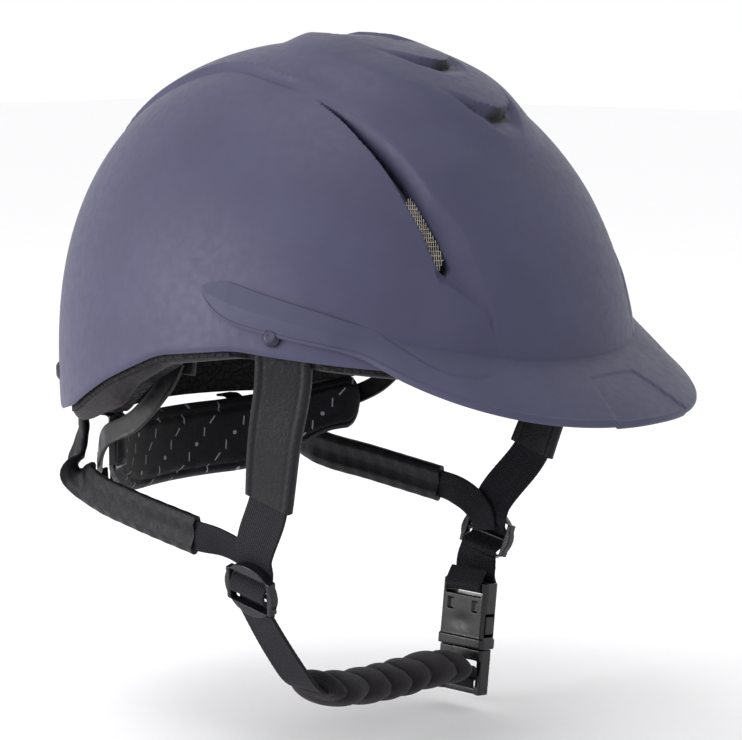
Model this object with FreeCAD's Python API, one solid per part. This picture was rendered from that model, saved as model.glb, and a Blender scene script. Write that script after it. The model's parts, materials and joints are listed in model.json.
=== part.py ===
"""Riding helmet with a dial-fit cradle, adjustable side straps and a quick-release chin strap.

Millimetres. +Z up, the peak points along -Y, the wearer's left side is +X.
The origin is in the middle of the head opening, at the level where the shell is widest.
"""
import FreeCAD, Part
import os
from functools import lru_cache
from math import acos, cos, pi, radians, sin, sqrt, tan

V = FreeCAD.Vector

# Shell, as a dome with a shorter front half and a longer rear half
HALF_WIDTH = 107.0
FRONT_LENGTH = 132.0
REAR_LENGTH = 142.0
HEIGHT = 142.0
SHELL_WALL = 2.5
GAP = 0.3                      # clearance between curved neighbours
# Lower edge of the shell seen from the side, as (y, z)
RIM = ((-170, 14.5), (-95, 15.5), (-30, 21.0), (10, 16.0), (46, 2.0), (81, -14.2), (112, -21.5), (170, -21.5))
LINER_DROP = 4.0               # how far the impact liner shows below the shell
# Lower edge of the cloth-covered trim, which hangs in a lobe behind each ear, as (y, z)
TRIM_EDGE = ((-170, 8.0), (-95, 9.0), (-30, 14.2), (10, 9.6), (36, -3.4), (47, -13.6), (81, -21.5),
             (110, -27.0), (170, -27.5))
TRIM_INSET = 9.3               # from the shell's outer face to the trim
TRIM_WALL = 2.6
# Head cavity inside the impact liner
HEAD_HALF_WIDTH = 84.0
HEAD_FRONT = 106.0
HEAD_REAR = 116.0
HEAD_HEIGHT = 120.0
COMFORT_PAD = 4.5
# Peak
PEAK_REACH = 163.0
PEAK_SLOPE = 28.0              # degrees down from the shell to the tip
PEAK_ROOT = 13.5               # height of its top face where it leaves the shell
PEAK_SIDE_RADIUS = 220.0       # curve of the peak seen from the front
PEAK_WALL = 4.0
ARM_PROUD = 3.6                # how far the peak's side arms stand off the shell
# Webbing and its leather sleeves
WEB_WIDTH = 20.0
WEB_WALL = 1.3
SLEEVE_WIDTH = 24.5
SLEEVE_WALL = 4.6
REAR_SLEEVE_WIDTH = 17.0
REAR_WEB_WIDTH = 13.0
RIVET_SHANK = 2.0
RIVET_HEAD = 3.9
FRONT_ANCHOR = (-48.0, 26.5)   # y, z of the front strap rivets
REAR_ANCHOR = (107.0, -4.0)    # y, z of the rear strap rivets
# Strap sliders
SLIDER = V(77.5, -16, -83)      # left-hand slider; the other is its mirror image
SLIDER_HALF_WIDTH = 14.0
SLIDER_HALF_HEIGHT = 11.5
SLIDER_WALL = 4.0
SLIDER_BAR = 1.0
# Side-release buckle, drawn along its own length u from the top of the socket half
BUCKLE_TOP = V(63.0, -18.5, -102.0)
BUCKLE_TILT = 7.0              # degrees, the lower end leans towards the chin
BUCKLE_WIDTH = 25.4
BUCKLE_WALL = 9.6
SOCKET_LENGTH = 30.0
PRONG_PIVOT_U = 31.5
PRONG_PIVOT_V = 7.6
# Chin strap pad
CHIN_PAD_WIDTH = 26.0
CHIN_PAD_DEPTH = 11.0
# Cradle round the back of the head
CRADLE_CENTRE_Y = 10.0
CRADLE_RADIUS = 95.0           # inner face of the carrier band
CARRIER_WALL = 2.2
CRADLE_PAD_WALL = 5.0
CRADLE_HALF_ANGLE = 56.0
DIAL_Z = -48.0
DIAL_RADIUS = 16.5
HOUSING_FRONT = 107.6
HOUSING_BACK = 114.0
TEETH = 12
MODULE = 1.0
PRESSURE_ANGLE = 25.0
BACKLASH = 0.25
RACK_WALL = 2.4


def egg(inset=0.0):
    """Dome inset by a distance from the shell's outer face, as a whole closed solid."""
    return lopsided(HALF_WIDTH - inset, FRONT_LENGTH - inset, REAR_LENGTH - inset, HEIGHT - inset)


@lru_cache
def lopsided(half_width, front, rear, height):
    """Ellipsoid whose front and rear halves differ in length and meet smoothly at y = 0."""
    halves = []
    for length, low_y in ((front, -300), (rear, 0)):
        scale = FreeCAD.Matrix()
        scale.scale(half_width / 100, length / 100, height / 100)
        half_space = Part.makeBox(600, 300, 600, V(-300, low_y, -300))
        half_ball = Part.makeSphere(100, V(0, 0, 0), V(1, 0, 0)).common(half_space)
        halves.append(half_ball.transformGeometry(scale))
    return halves[0].fuse(halves[1])


def under_rim(drop=0.0):
    """Everything lower than the shell's lower edge moved down by drop."""
    return under_line([(y, z - drop) for y, z in RIM])


def under_line(profile):
    """Everything lower than a line seen from the side, given as points (y, z)."""
    points = [V(-200, y, z) for y, z in profile]
    edge = Part.BSplineCurve()
    edge.interpolate(points)
    first, last = points[0], points[-1]
    deep_first, deep_last = V(-200, first.y, -200), V(-200, last.y, -200)
    sides = [edge.toShape(), Part.makeLine(last, deep_last), Part.makeLine(deep_last, deep_first),
             Part.makeLine(deep_first, first)]
    return Part.Face(Part.Wire(sides)).extrude(V(400, 0, 0))


def shell_x(y, z, inset=0.0):
    """Half-width of the dome at a height and a distance along it."""
    length = (FRONT_LENGTH if y < 0 else REAR_LENGTH) - inset
    return (HALF_WIDTH - inset) * sqrt(1 - (y / length) ** 2 - (z / (HEIGHT - inset)) ** 2)


def shell_normal(x, y, z):
    """Outward direction of the dome at a point on it."""
    length = FRONT_LENGTH if y < 0 else REAR_LENGTH
    return V(x / HALF_WIDTH ** 2, y / length ** 2, z / HEIGHT ** 2).normalize()


def oriented(shape, origin, x_dir, z_dir):
    """Move a shape drawn at the world origin to a place with the given X and Z directions."""
    x = V(x_dir).normalize()
    y = V(z_dir).cross(x).normalize()
    z = x.cross(y)
    shape = shape.copy()
    shape.Placement = FreeCAD.Placement(FreeCAD.Matrix(
        x.x, y.x, z.x, origin.x, x.y, y.y, z.y, origin.y, x.z, y.z, z.z, origin.z, 0, 0, 0, 1))
    return shape


def centred_box(length, width, height, centre=V(0, 0, 0)):
    corner = centre - V(length / 2, width / 2, height / 2)
    return Part.makeBox(length, width, height, corner)


def mirrored(shape):
    """The same piece on the other side of the helmet."""
    return shape.mirror(V(0, 0, 0), V(1, 0, 0))


def ribbon(stations, width, wall):
    """Flat strap through stations of (middle, width direction)."""
    sections = []
    for i, (middle, across) in enumerate(stations):
        before = stations[max(i - 1, 0)][0]
        after = stations[min(i + 1, len(stations) - 1)][0]
        along = (after - before).normalize()
        w = (V(across) - along * along.dot(V(across))).normalize()
        n = along.cross(w)
        bend = 1.0
        if 0 < i < len(stations) - 1:
            bend = max((middle - before).normalize().dot(along), 0.5)
        offsets = ((-width, -wall / bend), (width, -wall / bend), (width, wall / bend), (-width, wall / bend))
        corners = [middle + w * (p / 2) + n * (q / 2) for p, q in offsets]
        sections.append(Part.makePolygon(corners + corners[:1]))
    return Part.makeLoft(sections, True, True)


def cylinder_between(start, end, radius):
    axis = end - start
    return Part.makeCylinder(radius, axis.Length, start, axis)


def keep_solid(shape):
    """The one solid of a boolean result, with its seams merged."""
    clean = shape.removeSplitter()
    return max(clean.Solids, key=lambda solid: solid.Volume)


# ---------------------------------------------------------------- shell, liner and trims

def side_vent(length, width, depth, inset=0.0):
    """Block lying across the right-hand side vent, long edge along the vent."""
    middle = V(-58, -91, 71)
    outward = shell_normal(middle.x, middle.y, middle.z)
    along = V(0, -23, -32)
    block = centred_box(length, width, depth)
    return oriented(block, middle - outward * inset, along - outward * along.dot(outward), outward)


def crown_vent(width, y, depth):
    """Block through the crown on the centre line at a distance y."""
    z = HEIGHT * sqrt(1 - (y / FRONT_LENGTH) ** 2)
    return oriented(centred_box(width, 4.5, depth), V(0, y, z), V(1, 0, 0), shell_normal(0, y, z))


CROWN_VENTS = ((15.0, -49.0), (21.0, -79.0))


def anchor_points():
    """Where each left-hand strap rivet passes through the shell, and its outward direction."""
    points = []
    for y, z in (FRONT_ANCHOR, REAR_ANCHOR):
        x = shell_x(y, z)
        points.append((V(x, y, z), shell_normal(x, y, z)))
    return points


def rivet_holes(shape, radius):
    """Cut the four strap rivet holes through a shape."""
    for point, outward in anchor_points():
        hole = cylinder_between(point - outward * 12, point + outward * 6, radius)
        shape = shape.cut(hole).cut(mirrored(hole))
    return shape


def outer_shell():
    shell = egg().cut(egg(SHELL_WALL)).cut(under_rim())
    vent = side_vent(46, 5, 16)
    shell = shell.cut(vent).cut(mirrored(vent))
    for width, y in CROWN_VENTS:
        shell = shell.cut(crown_vent(width, y, 14))
    return keep_solid(rivet_holes(shell, RIVET_SHANK + 0.1))


def strap_pockets():
    """Recesses in the liner's outer edge that take the top ends of the four straps."""
    pockets = []
    for (point, outward), width in zip(anchor_points(), (29, 22)):
        level = V(outward.x, outward.y, 0).normalize()
        block = centred_box(18, width, 34, V(-7, 0, -9))
        pocket = oriented(block, V(point.x, point.y, point.z), level, V(0, 0, 1))
        pockets += [pocket, mirrored(pocket)]
    return pockets


def eps_liner():
    cavity = lopsided(HEAD_HALF_WIDTH, HEAD_FRONT, HEAD_REAR, HEAD_HEIGHT)
    liner = egg(SHELL_WALL + GAP).cut(cavity).cut(under_rim(LINER_DROP))
    for pocket in strap_pockets():
        liner = liner.cut(pocket)
    mesh_seat = egg().cut(egg(4.7)).common(side_vent(54, 11, 30))
    channel = side_vent(42, 5, 90, 30)
    for block in (mesh_seat, channel):
        liner = liner.cut(block).cut(mirrored(block))
    for width, y in CROWN_VENTS:
        liner = liner.cut(crown_vent(width - 4, y, 80))
    return keep_solid(liner)


def edge_trim():
    """Cloth-covered trim under the liner's lower edge, all the way round."""
    ring = egg(TRIM_INSET).cut(egg(TRIM_INSET + TRIM_WALL))
    trim = ring.common(under_rim(LINER_DROP + GAP)).cut(under_line(TRIM_EDGE))
    for pocket in strap_pockets():
        trim = trim.cut(pocket)
    return keep_solid(trim.cut(centred_box(104, 30, 20, V(0, 114, -34))))


def mesh_insert():
    """Wire mesh plate behind the right-hand side vent."""
    return keep_solid(egg(3.4).cut(egg(4.2)).common(side_vent(51, 9, 30)))


def comfort_headband():
    """Padded band round the brow, held inside the liner by hook patches."""
    outer = lopsided(HEAD_HALF_WIDTH - 1.4, HEAD_FRONT - 1.4, HEAD_REAR - 1.4, HEAD_HEIGHT - 1.4)
    inset = COMFORT_PAD + 1.4
    inner = lopsided(HEAD_HALF_WIDTH - inset, HEAD_FRONT - inset, HEAD_REAR - inset, HEAD_HEIGHT - inset)
    zone = Part.makeBox(240, 135, 45, V(-120, -120, 0))
    return keep_solid(outer.cut(inner).common(zone).cut(under_rim(1.0)))


def crown_pad():
    outer = lopsided(HEAD_HALF_WIDTH - 1.4, HEAD_FRONT - 1.4, HEAD_REAR - 1.4, HEAD_HEIGHT - 1.4)
    inset = COMFORT_PAD + 2.9
    inner = lopsided(HEAD_HALF_WIDTH - inset, HEAD_FRONT - inset, HEAD_REAR - inset, HEAD_HEIGHT - inset)
    lengthwise = Part.makeBox(34, 120, 140, V(-17, -55, 60))
    across = Part.makeBox(96, 34, 140, V(-48, -10, 60))
    return keep_solid(outer.cut(inner).common(lengthwise.fuse(across)))


def hook_patches():
    """Hook-and-loop patches between the liner and its comfort pads."""
    outer = lopsided(HEAD_HALF_WIDTH - 0.3, HEAD_FRONT - 0.3, HEAD_REAR - 0.3, HEAD_HEIGHT - 0.3)
    inner = lopsided(HEAD_HALF_WIDTH - 1.1, HEAD_FRONT - 1.1, HEAD_REAR - 1.1, HEAD_HEIGHT - 1.1)
    layer = outer.cut(inner)
    spots = [Part.makeBox(20, 80, 14, V(x - 10, -120, 26)) for x in (-48, 0, 48)]
    spots += [Part.makeBox(60, 20, 14, V(x, -20, 26)) for x in (-100, 40)]
    spots += [Part.makeBox(20, 20, 80, V(-10, y, 60)) for y in (-40, 30)]
    return Part.makeCompound([keep_solid(layer.common(spot)) for spot in spots])


# ---------------------------------------------------------------- peak

def peak_outline():
    """Plan outline of the brim, as a prism that reaches back into the shell."""
    edge = Part.BSplineCurve()
    edge.interpolate([V(x, y, -60) for x, y in (
        (-86, -74), (-76, -111), (-58, -139), (-32, -157), (0, -PEAK_REACH),
        (32, -157), (58, -139), (76, -111), (86, -74))])
    back = Part.makePolygon([V(86, -74, -60), V(70, -50, -60), V(-70, -50, -60), V(-86, -74, -60)])
    return Part.Face(Part.Wire([edge.toShape()] + back.Edges)).extrude(V(0, 0, 120))


def peak_layer(drop):
    """Region below the brim's top surface moved down by drop."""
    radius = PEAK_SIDE_RADIUS
    slope = V(0, -cos(radians(PEAK_SLOPE)), -sin(radians(PEAK_SLOPE)))
    crest = V(0, -FRONT_LENGTH, PEAK_ROOT - drop)
    centre = crest - slope * 150 + V(0, -sin(radians(PEAK_SLOPE)), cos(radians(PEAK_SLOPE))) * -radius
    return Part.makeCylinder(radius, 400, centre, slope)


def arm_outline():
    """Side view of the arm that sweeps back along the shell, as a prism across the helmet."""
    top = ((-117, 21.5), (-90, 28), (-62, 37.5), (-36, 45.5), (-22, 48))
    bottom = ((-22, 35.5), (-47, 28.5), (-72, 24), (-95, 16), (-112, 8))
    upper = Part.BSplineCurve()
    upper.interpolate([V(-150, y, z) for y, z in top])
    lower = Part.BSplineCurve()
    lower.interpolate([V(-150, y, z) for y, z in bottom])
    nose = Part.Arc(V(-150, *top[-1]), V(-150, -14.5, 41.5), V(-150, *bottom[0])).toShape()
    front = Part.makeLine(V(-150, *bottom[-1]), V(-150, *top[0]))
    return Part.Face(Part.Wire([upper.toShape(), nose, lower.toShape(), front])).extrude(V(300, 0, 0))


def peak():
    brim = peak_outline().common(peak_layer(0)).cut(peak_layer(PEAK_WALL))
    arms = egg(-ARM_PROUD).common(arm_outline())
    body = brim.fuse(arms).cut(egg(-GAP))
    point, outward = anchor_points()[0]
    recess = Part.makeCylinder(RIVET_HEAD + 0.5, 8, point - outward * 5.1, outward)
    body = body.cut(recess).cut(mirrored(recess))
    body = body.common(Part.makeBox(300, 300, 300, V(-150, -200, -150)))
    return keep_solid(body)


# ---------------------------------------------------------------- side straps (left side)

def level_axes(y, z):
    """Level directions out of the dome's left side and along it."""
    normal = shell_normal(shell_x(y, z), y, z)
    level = V(normal.x, normal.y, 0).normalize()
    return level, V(-level.y, level.x, 0)


def front_strap_path():
    """Stations of the front strap from its rivet to the slider."""
    y, z = FRONT_ANCHOR
    level, side = level_axes(*FRONT_ANCHOR)
    top = V(shell_x(y, z, SHELL_WALL), y, z) - level * 4.0
    return [(top + V(0, 0, 5), side), (top + V(0, 0, -18), side), (V(90.5, -42, -16), V(0.15, 1, 0)),
            (V(86, -34.5, -43), V(0, 1, 0))]


def slider_axes():
    """Directions along the strap (down) and out from the head at the slider."""
    along = V(-0.25, 0.18, -0.95).normalize()
    across = V(0, 0.98, 0.19)
    across = (across - along * along.dot(across)).normalize()
    return along, across, along.cross(across).normalize()


def slider_point(t, n, c=0.0):
    """Point at t along the strap, n out from the head and c across, seen from the slider's middle."""
    along, across, outward = slider_axes()
    return SLIDER + along * t + outward * n + across * c


def front_webbing():
    """Flat webbing from the front rivet through the slider's window."""
    along, across, outward = slider_axes()
    behind = -(SLIDER_WALL / 2 + GAP + WEB_WALL / 2)
    over = SLIDER_BAR + GAP + WEB_WALL / 2 + 0.1
    weave = ((-17, behind), (-6.6, behind), (-1.8, over), (1.8, over), (6.6, behind), (12.4, behind))
    path = front_strap_path() + [(slider_point(t, n), across) for t, n in weave]
    return ribbon(path, WEB_WIDTH, WEB_WALL)


def front_sleeve():
    path = front_strap_path()
    tube = ribbon(path, SLEEVE_WIDTH, SLEEVE_WALL)
    bore = ribbon(extended(path, 3), WEB_WIDTH + 0.8, WEB_WALL + 0.8)
    return keep_solid(tube.cut(bore))


def extended(path, length):
    """A path with both ends carried on in a straight line."""
    first = path[0][0] + (path[0][0] - path[1][0]).normalize() * length
    last = path[-1][0] + (path[-1][0] - path[-2][0]).normalize() * length
    return [(first, path[0][1])] + path[1:-1] + [(last, path[-1][1])]


def rear_strap_path():
    """Stations of the rear strap from its rivet, under the shell's edge and forward."""
    y, z = REAR_ANCHOR
    level, side = level_axes(*REAR_ANCHOR)
    top = V(shell_x(y, z, SHELL_WALL), y, z) - level * 3.9
    low = top - level * 2.6 - V(0, 0, 25)
    return [(top + V(0, 0, 6), side), (top + V(0, 0, -9), side), (low, side),
            (V(69, 100, -46), V(-0.5, 0.7, 0.5)), (V(73, 84, -54), V(-0.1, 0.4, 0.9)),
            (V(77, 55, -58.5), V(0, 0.2, 1)), (V(79.5, 14, -64), V(0, 0.15, 1))]


def rear_sleeve():
    path = rear_strap_path()
    tube = ribbon(path, REAR_SLEEVE_WIDTH, SLEEVE_WALL)
    bore = ribbon(extended(path, 3), REAR_WEB_WIDTH + 0.8, WEB_WALL + 0.8)
    return keep_solid(tube.cut(bore))


def rear_webbing():
    """Webbing from the rear rivet that ends folded behind the slider."""
    along, across, outward = slider_axes()
    behind = -(SLIDER_WALL / 2 + 2 * GAP + 1.5 * WEB_WALL + 0.5)
    sleeve_path = rear_strap_path()
    upward = along * -0.85 - across * 0.5
    path = extended(sleeve_path, 4) + [(slider_point(-11.5, behind, 19), upward), (slider_point(0, behind), upward)]
    path[0] = sleeve_path[0]
    return ribbon(path, REAR_WEB_WIDTH, WEB_WALL)


def anchor_plate(index):
    """Steel washer plate behind a left-hand strap end."""
    point, outward = anchor_points()[index]
    level = V(outward.x, outward.y, 0).normalize()
    plate = centred_box(1.2, 15, 12)
    centre = V(point.x, point.y, point.z) - level * (SHELL_WALL + 7.6)
    return oriented(plate, centre, level, V(0, 0, 1)).cut(cylinder_between(
        point - outward * 20, point + outward * 6, RIVET_SHANK + 0.1))


def rivet(index):
    """Left-hand strap rivet: domed head outside, shank, clinched tail inside."""
    point, outward = anchor_points()[index]
    seat = point + outward * 0.35
    head = Part.makeCylinder(RIVET_HEAD, 1.2, seat, outward)
    crown = Part.makeCone(RIVET_HEAD, RIVET_HEAD * 0.6, 1.0, seat + outward * 1.2, outward)
    tail_depth = SHELL_WALL + 9.4
    shank = cylinder_between(point - outward * tail_depth, seat, RIVET_SHANK)
    tail = Part.makeCylinder(RIVET_SHANK + 1.4, 1.2, point - outward * (tail_depth + 1.2), outward)
    return keep_solid(head.fuse([crown, shank, tail]))


def drilled(shape, index):
    """Strap part with the hole for its left-hand rivet."""
    point, outward = anchor_points()[index]
    return keep_solid(shape.cut(cylinder_between(point - outward * 20, point + outward * 6, RIVET_SHANK + 0.1)))


def slider():
    """Oval strap slider: a ring with a crossbar for the webbing to pass over."""
    along, across, outward = slider_axes()
    scale = FreeCAD.Matrix()
    scale.scale(SLIDER_HALF_WIDTH / 10, SLIDER_HALF_HEIGHT / 10, 1)
    oval = Part.makeCylinder(10, SLIDER_WALL, V(0, 0, -SLIDER_WALL / 2)).transformGeometry(scale)
    window = centred_box(WEB_WIDTH + 1.2, 14.6, SLIDER_WALL * 2)
    ring = oval.cut(window)
    bar = Part.makeCylinder(SLIDER_BAR, WEB_WIDTH + 3, V(-WEB_WIDTH / 2 - 1.5, 0, 0), V(1, 0, 0))
    cheeks = []
    for side in (-1, 1):
        cheeks.append(centred_box(2.2, 15, SLIDER_WALL, V(side * (WEB_WIDTH / 2 + 1.7), 0, 0)))
    body = ring.fuse(cheeks + [bar])
    return keep_solid(oriented(body, SLIDER, across, outward))


# ---------------------------------------------------------------- chin strap and buckle

def buckle_axes():
    """Directions along the buckle (towards the chin), across it and through it."""
    along = V(-sin(radians(BUCKLE_TILT)), 0, -cos(radians(BUCKLE_TILT)))
    across = V(0, 1, 0)
    return along, across, along.cross(across)


def in_buckle(shape):
    """Place a shape drawn with X along the buckle, Y across and Z through it."""
    along, across, through = buckle_axes()
    return oriented(shape, BUCKLE_TOP, along, through)


def buckle_point(u, v=0.0, n=0.0):
    along, across, through = buckle_axes()
    return BUCKLE_TOP + along * u + across * v + through * n


def bar_block(u0, u1, half_v, half_n, v=0.0):
    """Box from u0 to u1 along the buckle."""
    return Part.makeBox(u1 - u0, 2 * half_v, 2 * half_n, V(u0, v - half_v, -half_n))


def softened(shape, radius, direction):
    """Round the edges of a block that run along one direction."""
    edges = [e for e in shape.Edges if abs(e.tangentAt(e.FirstParameter).dot(direction)) > 0.99]
    return shape.makeFillet(radius, edges)


def buckle_female():
    """Socket half: strap slot above, open mouth below, a window in each side for the prongs."""
    half_v, half_n = BUCKLE_WIDTH / 2, BUCKLE_WALL / 2
    body = softened(bar_block(0, SOCKET_LENGTH, half_v, half_n), 2.2, V(1, 0, 0))
    collar = softened(bar_block(25.5, SOCKET_LENGTH, half_v + 0.5, half_n + 0.5), 2.2, V(1, 0, 0))
    body = body.fuse(collar)
    body = body.cut(bar_block(9, SOCKET_LENGTH + 5, half_v - 1.5, half_n - 1.5))
    body = body.cut(bar_block(3.0, 6.4, WEB_WIDTH / 2 + 0.5, half_n + 2))
    body = body.cut(bar_block(14, 24.5, half_v + 2, half_n - 1.7))
    for v in (-5, 5):
        body = body.cut(bar_block(10.5, 13, 1.6, half_n + 2, v).common(bar_block(0, 30, 30, 30).cut(
            Part.makeBox(60, 60, 30, V(0, -30, -30)))))
    return keep_solid(in_buckle(body))


def buckle_male():
    """Plug half: guide tongue, shoulder, and a ladder of two bars for the chin strap."""
    half_v, half_n = BUCKLE_WIDTH / 2, BUCKLE_WALL / 2
    tongue = bar_block(14, 32, 2.4, 1.6)
    shoulder = softened(bar_block(30.4, 35.4, half_v - 0.4, half_n - 0.6), 1.8, V(1, 0, 0))
    cheeks = [bar_block(34, 51, 1.4, 3.4, v) for v in (-(half_v - 1.8), half_v - 1.8)]
    bars = [bar_block(u, u + 3, half_v - 2, 1.8) for u in (41.0, 48.0)]
    body = tongue.fuse([shoulder] + cheeks + bars)
    for v in (-PRONG_PIVOT_V, PRONG_PIVOT_V):
        body = body.cut(bar_block(29, 34.4, 2.9, half_n + 2, v))
        body = body.fuse(Part.makeCylinder(1.0, 2 * (half_n - 0.7), V(PRONG_PIVOT_U, v, -(half_n - 0.7))))
        body = body.fuse([bar_block(30.4, 35.4, 2.95, 0.55, v).translated(V(0, 0, n))
                          for n in (-(half_n - 1.25), half_n - 1.25)])
    return keep_solid(in_buckle(body))


def prong(side):
    """Spring prong with a shoulder that catches in the socket's side window."""
    arm = bar_block(15.5, PRONG_PIVOT_U + 1.2, 1.3, 2.1, side * PRONG_PIVOT_V)
    button = softened(bar_block(15, 23.6, 2.9, 2.7, side * 9.9), 1.2, V(0, 0, 1))
    hub = Part.makeCylinder(1.9, 4.2, V(PRONG_PIVOT_U, side * PRONG_PIVOT_V, -2.1))
    body = arm.fuse([button, hub])
    pin_hole = Part.makeCylinder(1.05, 12, V(PRONG_PIVOT_U, side * PRONG_PIVOT_V, -6))
    return keep_solid(in_buckle(body.cut(pin_hole)))


def buckle_webbing():
    """Short webbing from the left slider to the bar of the socket half."""
    across = V(0, 1, 0)
    behind = -(SLIDER_WALL / 2 + GAP + WEB_WALL / 2)
    path = [(slider_point(t, behind), slider_axes()[1]) for t in (13.2, 15.0)]
    return ribbon(path + [(V(67.5, -17, -99.4), across), (buckle_point(-2.4), across)], WEB_WIDTH, WEB_WALL)


def chin_strap_path():
    """Stations of the chin strap, from the right slider to the ladder of the plug half."""
    across = V(0, 1, 0)
    start = []
    for t in (13.2, 15.5):
        left = slider_point(t, -(SLIDER_WALL / 2 + GAP + WEB_WALL / 2))
        start.append((V(-left.x, left.y, left.z), slider_axes()[1]))
    middle = [V(-58, -20, -120), V(-50, -21.5, -129), V(-25, -22, -134), V(2, -22, -136),
              V(30, -22, -136.3), V(49, -21.2, -138), V(51.4, -20, -140), buckle_point(42, 0, -5.0),
              buckle_point(47.5, 0, -4.7)]
    return start + [(point, across) for point in middle]


def chin_webbing():
    return ribbon(chin_strap_path(), WEB_WIDTH, WEB_WALL)


def chin_pad():
    """Padded sleeve under the chin, in two leaves round the strap."""
    path = chin_strap_path()[3:8]
    ends = []
    for (end, across), (inner, _) in ((path[0], path[1]), (path[-1], path[-2])):
        ends.append((end + (inner - end).normalize() * 3.0, across))
    inside = [ends[0]] + path[1:-1] + [ends[1]]
    tube = ribbon(inside, CHIN_PAD_WIDTH, CHIN_PAD_DEPTH)
    bore = ribbon(extended(inside, 2), WEB_WIDTH + 0.8, WEB_WALL + 0.8)
    return keep_solid(tube.cut(bore))


# ---------------------------------------------------------------- cradle

def arc_band(inner, wall, half_angle, low, high):
    """Upright band bent round the back of the head."""
    ring = Part.makeCylinder(inner + wall, high - low, V(0, CRADLE_CENTRE_Y, low))
    ring = ring.cut(Part.makeCylinder(inner, high - low, V(0, CRADLE_CENTRE_Y, low)))
    reach = 200
    x, y = reach * sin(radians(half_angle)), reach * cos(radians(half_angle))
    wedge = Part.makePolygon([V(0, CRADLE_CENTRE_Y, low), V(x, CRADLE_CENTRE_Y + y, low),
                              V(0, CRADLE_CENTRE_Y + 2 * reach, low), V(-x, CRADLE_CENTRE_Y + y, low),
                              V(0, CRADLE_CENTRE_Y, low)])
    return ring.common(Part.Face(wedge).extrude(V(0, 0, high - low)))


def cradle_profile(grow):
    """Side view of the cradle: deep at the back, narrower and higher at its wings."""
    points = [V(-150, y, z) for y, z in (
        (125, -25 + grow), (104, -25 + grow), (85, -21 + grow), (50, -12.5 + grow),
        (50, -40 - grow), (76, -45 - grow), (96, -62 - grow), (125, -63 - grow))]
    return Part.Face(Part.makePolygon(points + points[:1])).extrude(V(300, 0, 0))


def cradle_pad():
    return keep_solid(arc_band(CRADLE_RADIUS - CRADLE_PAD_WALL - GAP, CRADLE_PAD_WALL,
                               CRADLE_HALF_ANGLE, -80, 0).common(cradle_profile(0)))


def cradle_carrier():
    """Thin plastic band behind the pad, with an opening behind the dial housing."""
    band = arc_band(CRADLE_RADIUS, CARRIER_WALL, CRADLE_HALF_ANGLE - 2, -80, 0)
    band = band.common(cradle_profile(-2.5))
    for x in (-44, 44):
        band = band.cut(Part.makeBox(22, 60, 9, V(x - 11, 60, -41)))
    inside = Part.makeCylinder(CRADLE_RADIUS, 200, V(0, CRADLE_CENTRE_Y, -100))
    bosses = []
    for x in (-24, 24):
        for z in (-10, 10):
            boss = Part.makeCylinder(2.5, 12, V(x, HOUSING_FRONT - 12.2, DIAL_Z + z), V(0, 1, 0))
            bosses.append(boss.cut(inside))
    return keep_solid(band.fuse(bosses))


CAVITY_FRONT = 109.0
CAVITY_BACK = 112.2
PITCH_RADIUS = TEETH * MODULE / 2
RACK_HEIGHT = 3.2
CAVITY_HALF = PITCH_RADIUS + 1.2 * MODULE + RACK_HEIGHT + 0.3


def dial_housing():
    """Box behind the carrier that guides both racks and carries the dial."""
    box = Part.makeBox(64, HOUSING_BACK - HOUSING_FRONT, 30, V(-32, HOUSING_FRONT, DIAL_Z - 15))
    box = softened(box, 5.0, V(0, 1, 0))
    tunnel = Part.makeBox(80, CAVITY_BACK - CAVITY_FRONT, 2 * CAVITY_HALF,
                          V(-40, CAVITY_FRONT, DIAL_Z - CAVITY_HALF))
    bore = Part.makeCylinder(4.05, 10, V(0, CAVITY_FRONT + 1, DIAL_Z), V(0, 1, 0))
    return keep_solid(box.cut(tunnel).cut(bore))


def involute_flank(base, radius):
    """Angle round the gear that an involute from a base circle has turned at a radius."""
    if radius <= base:
        return 0.0
    roll = sqrt((radius / base) ** 2 - 1)
    return roll - acos(base / radius)


def pinion():
    """Pinion on the dial's shaft that moves both racks at once."""
    base = PITCH_RADIUS * cos(radians(PRESSURE_ANGLE))
    root, tip = PITCH_RADIUS - 1.05 * MODULE, PITCH_RADIUS + 0.8 * MODULE
    half_pitch = (pi * MODULE / 2 - BACKLASH) / PITCH_RADIUS / 2
    reference = involute_flank(base, PITCH_RADIUS)
    radii = [root] + [base + (tip - base) * i / 5 for i in range(6)]
    points = []
    for tooth in range(TEETH):
        middle = 2 * pi * tooth / TEETH
        left = [(r, middle - half_pitch - reference + involute_flank(base, r)) for r in radii]
        right = [(r, 2 * middle - angle) for r, angle in reversed(left)]
        points += [V(r * sin(a), CAVITY_FRONT + 0.3, DIAL_Z + r * cos(a)) for r, a in left + right]
    outline = Part.Face(Part.makePolygon(points + points[:1]))
    gear = outline.extrude(V(0, RACK_WALL, 0))
    gear_back = CAVITY_FRONT + 0.3 + RACK_WALL
    shaft = Part.makeCylinder(4.0, HOUSING_BACK + 0.2 - gear_back, V(0, gear_back, DIAL_Z), V(0, 1, 0))
    drive = centred_box(4.0, 7.0, 4.0, V(0, HOUSING_BACK + 0.2, DIAL_Z))
    screw_hole = Part.makeCylinder(1.3, 30, V(0, CAVITY_FRONT - 5, DIAL_Z), V(0, 1, 0))
    return keep_solid(gear.fuse([shaft, drive]).cut(screw_hole))


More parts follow.
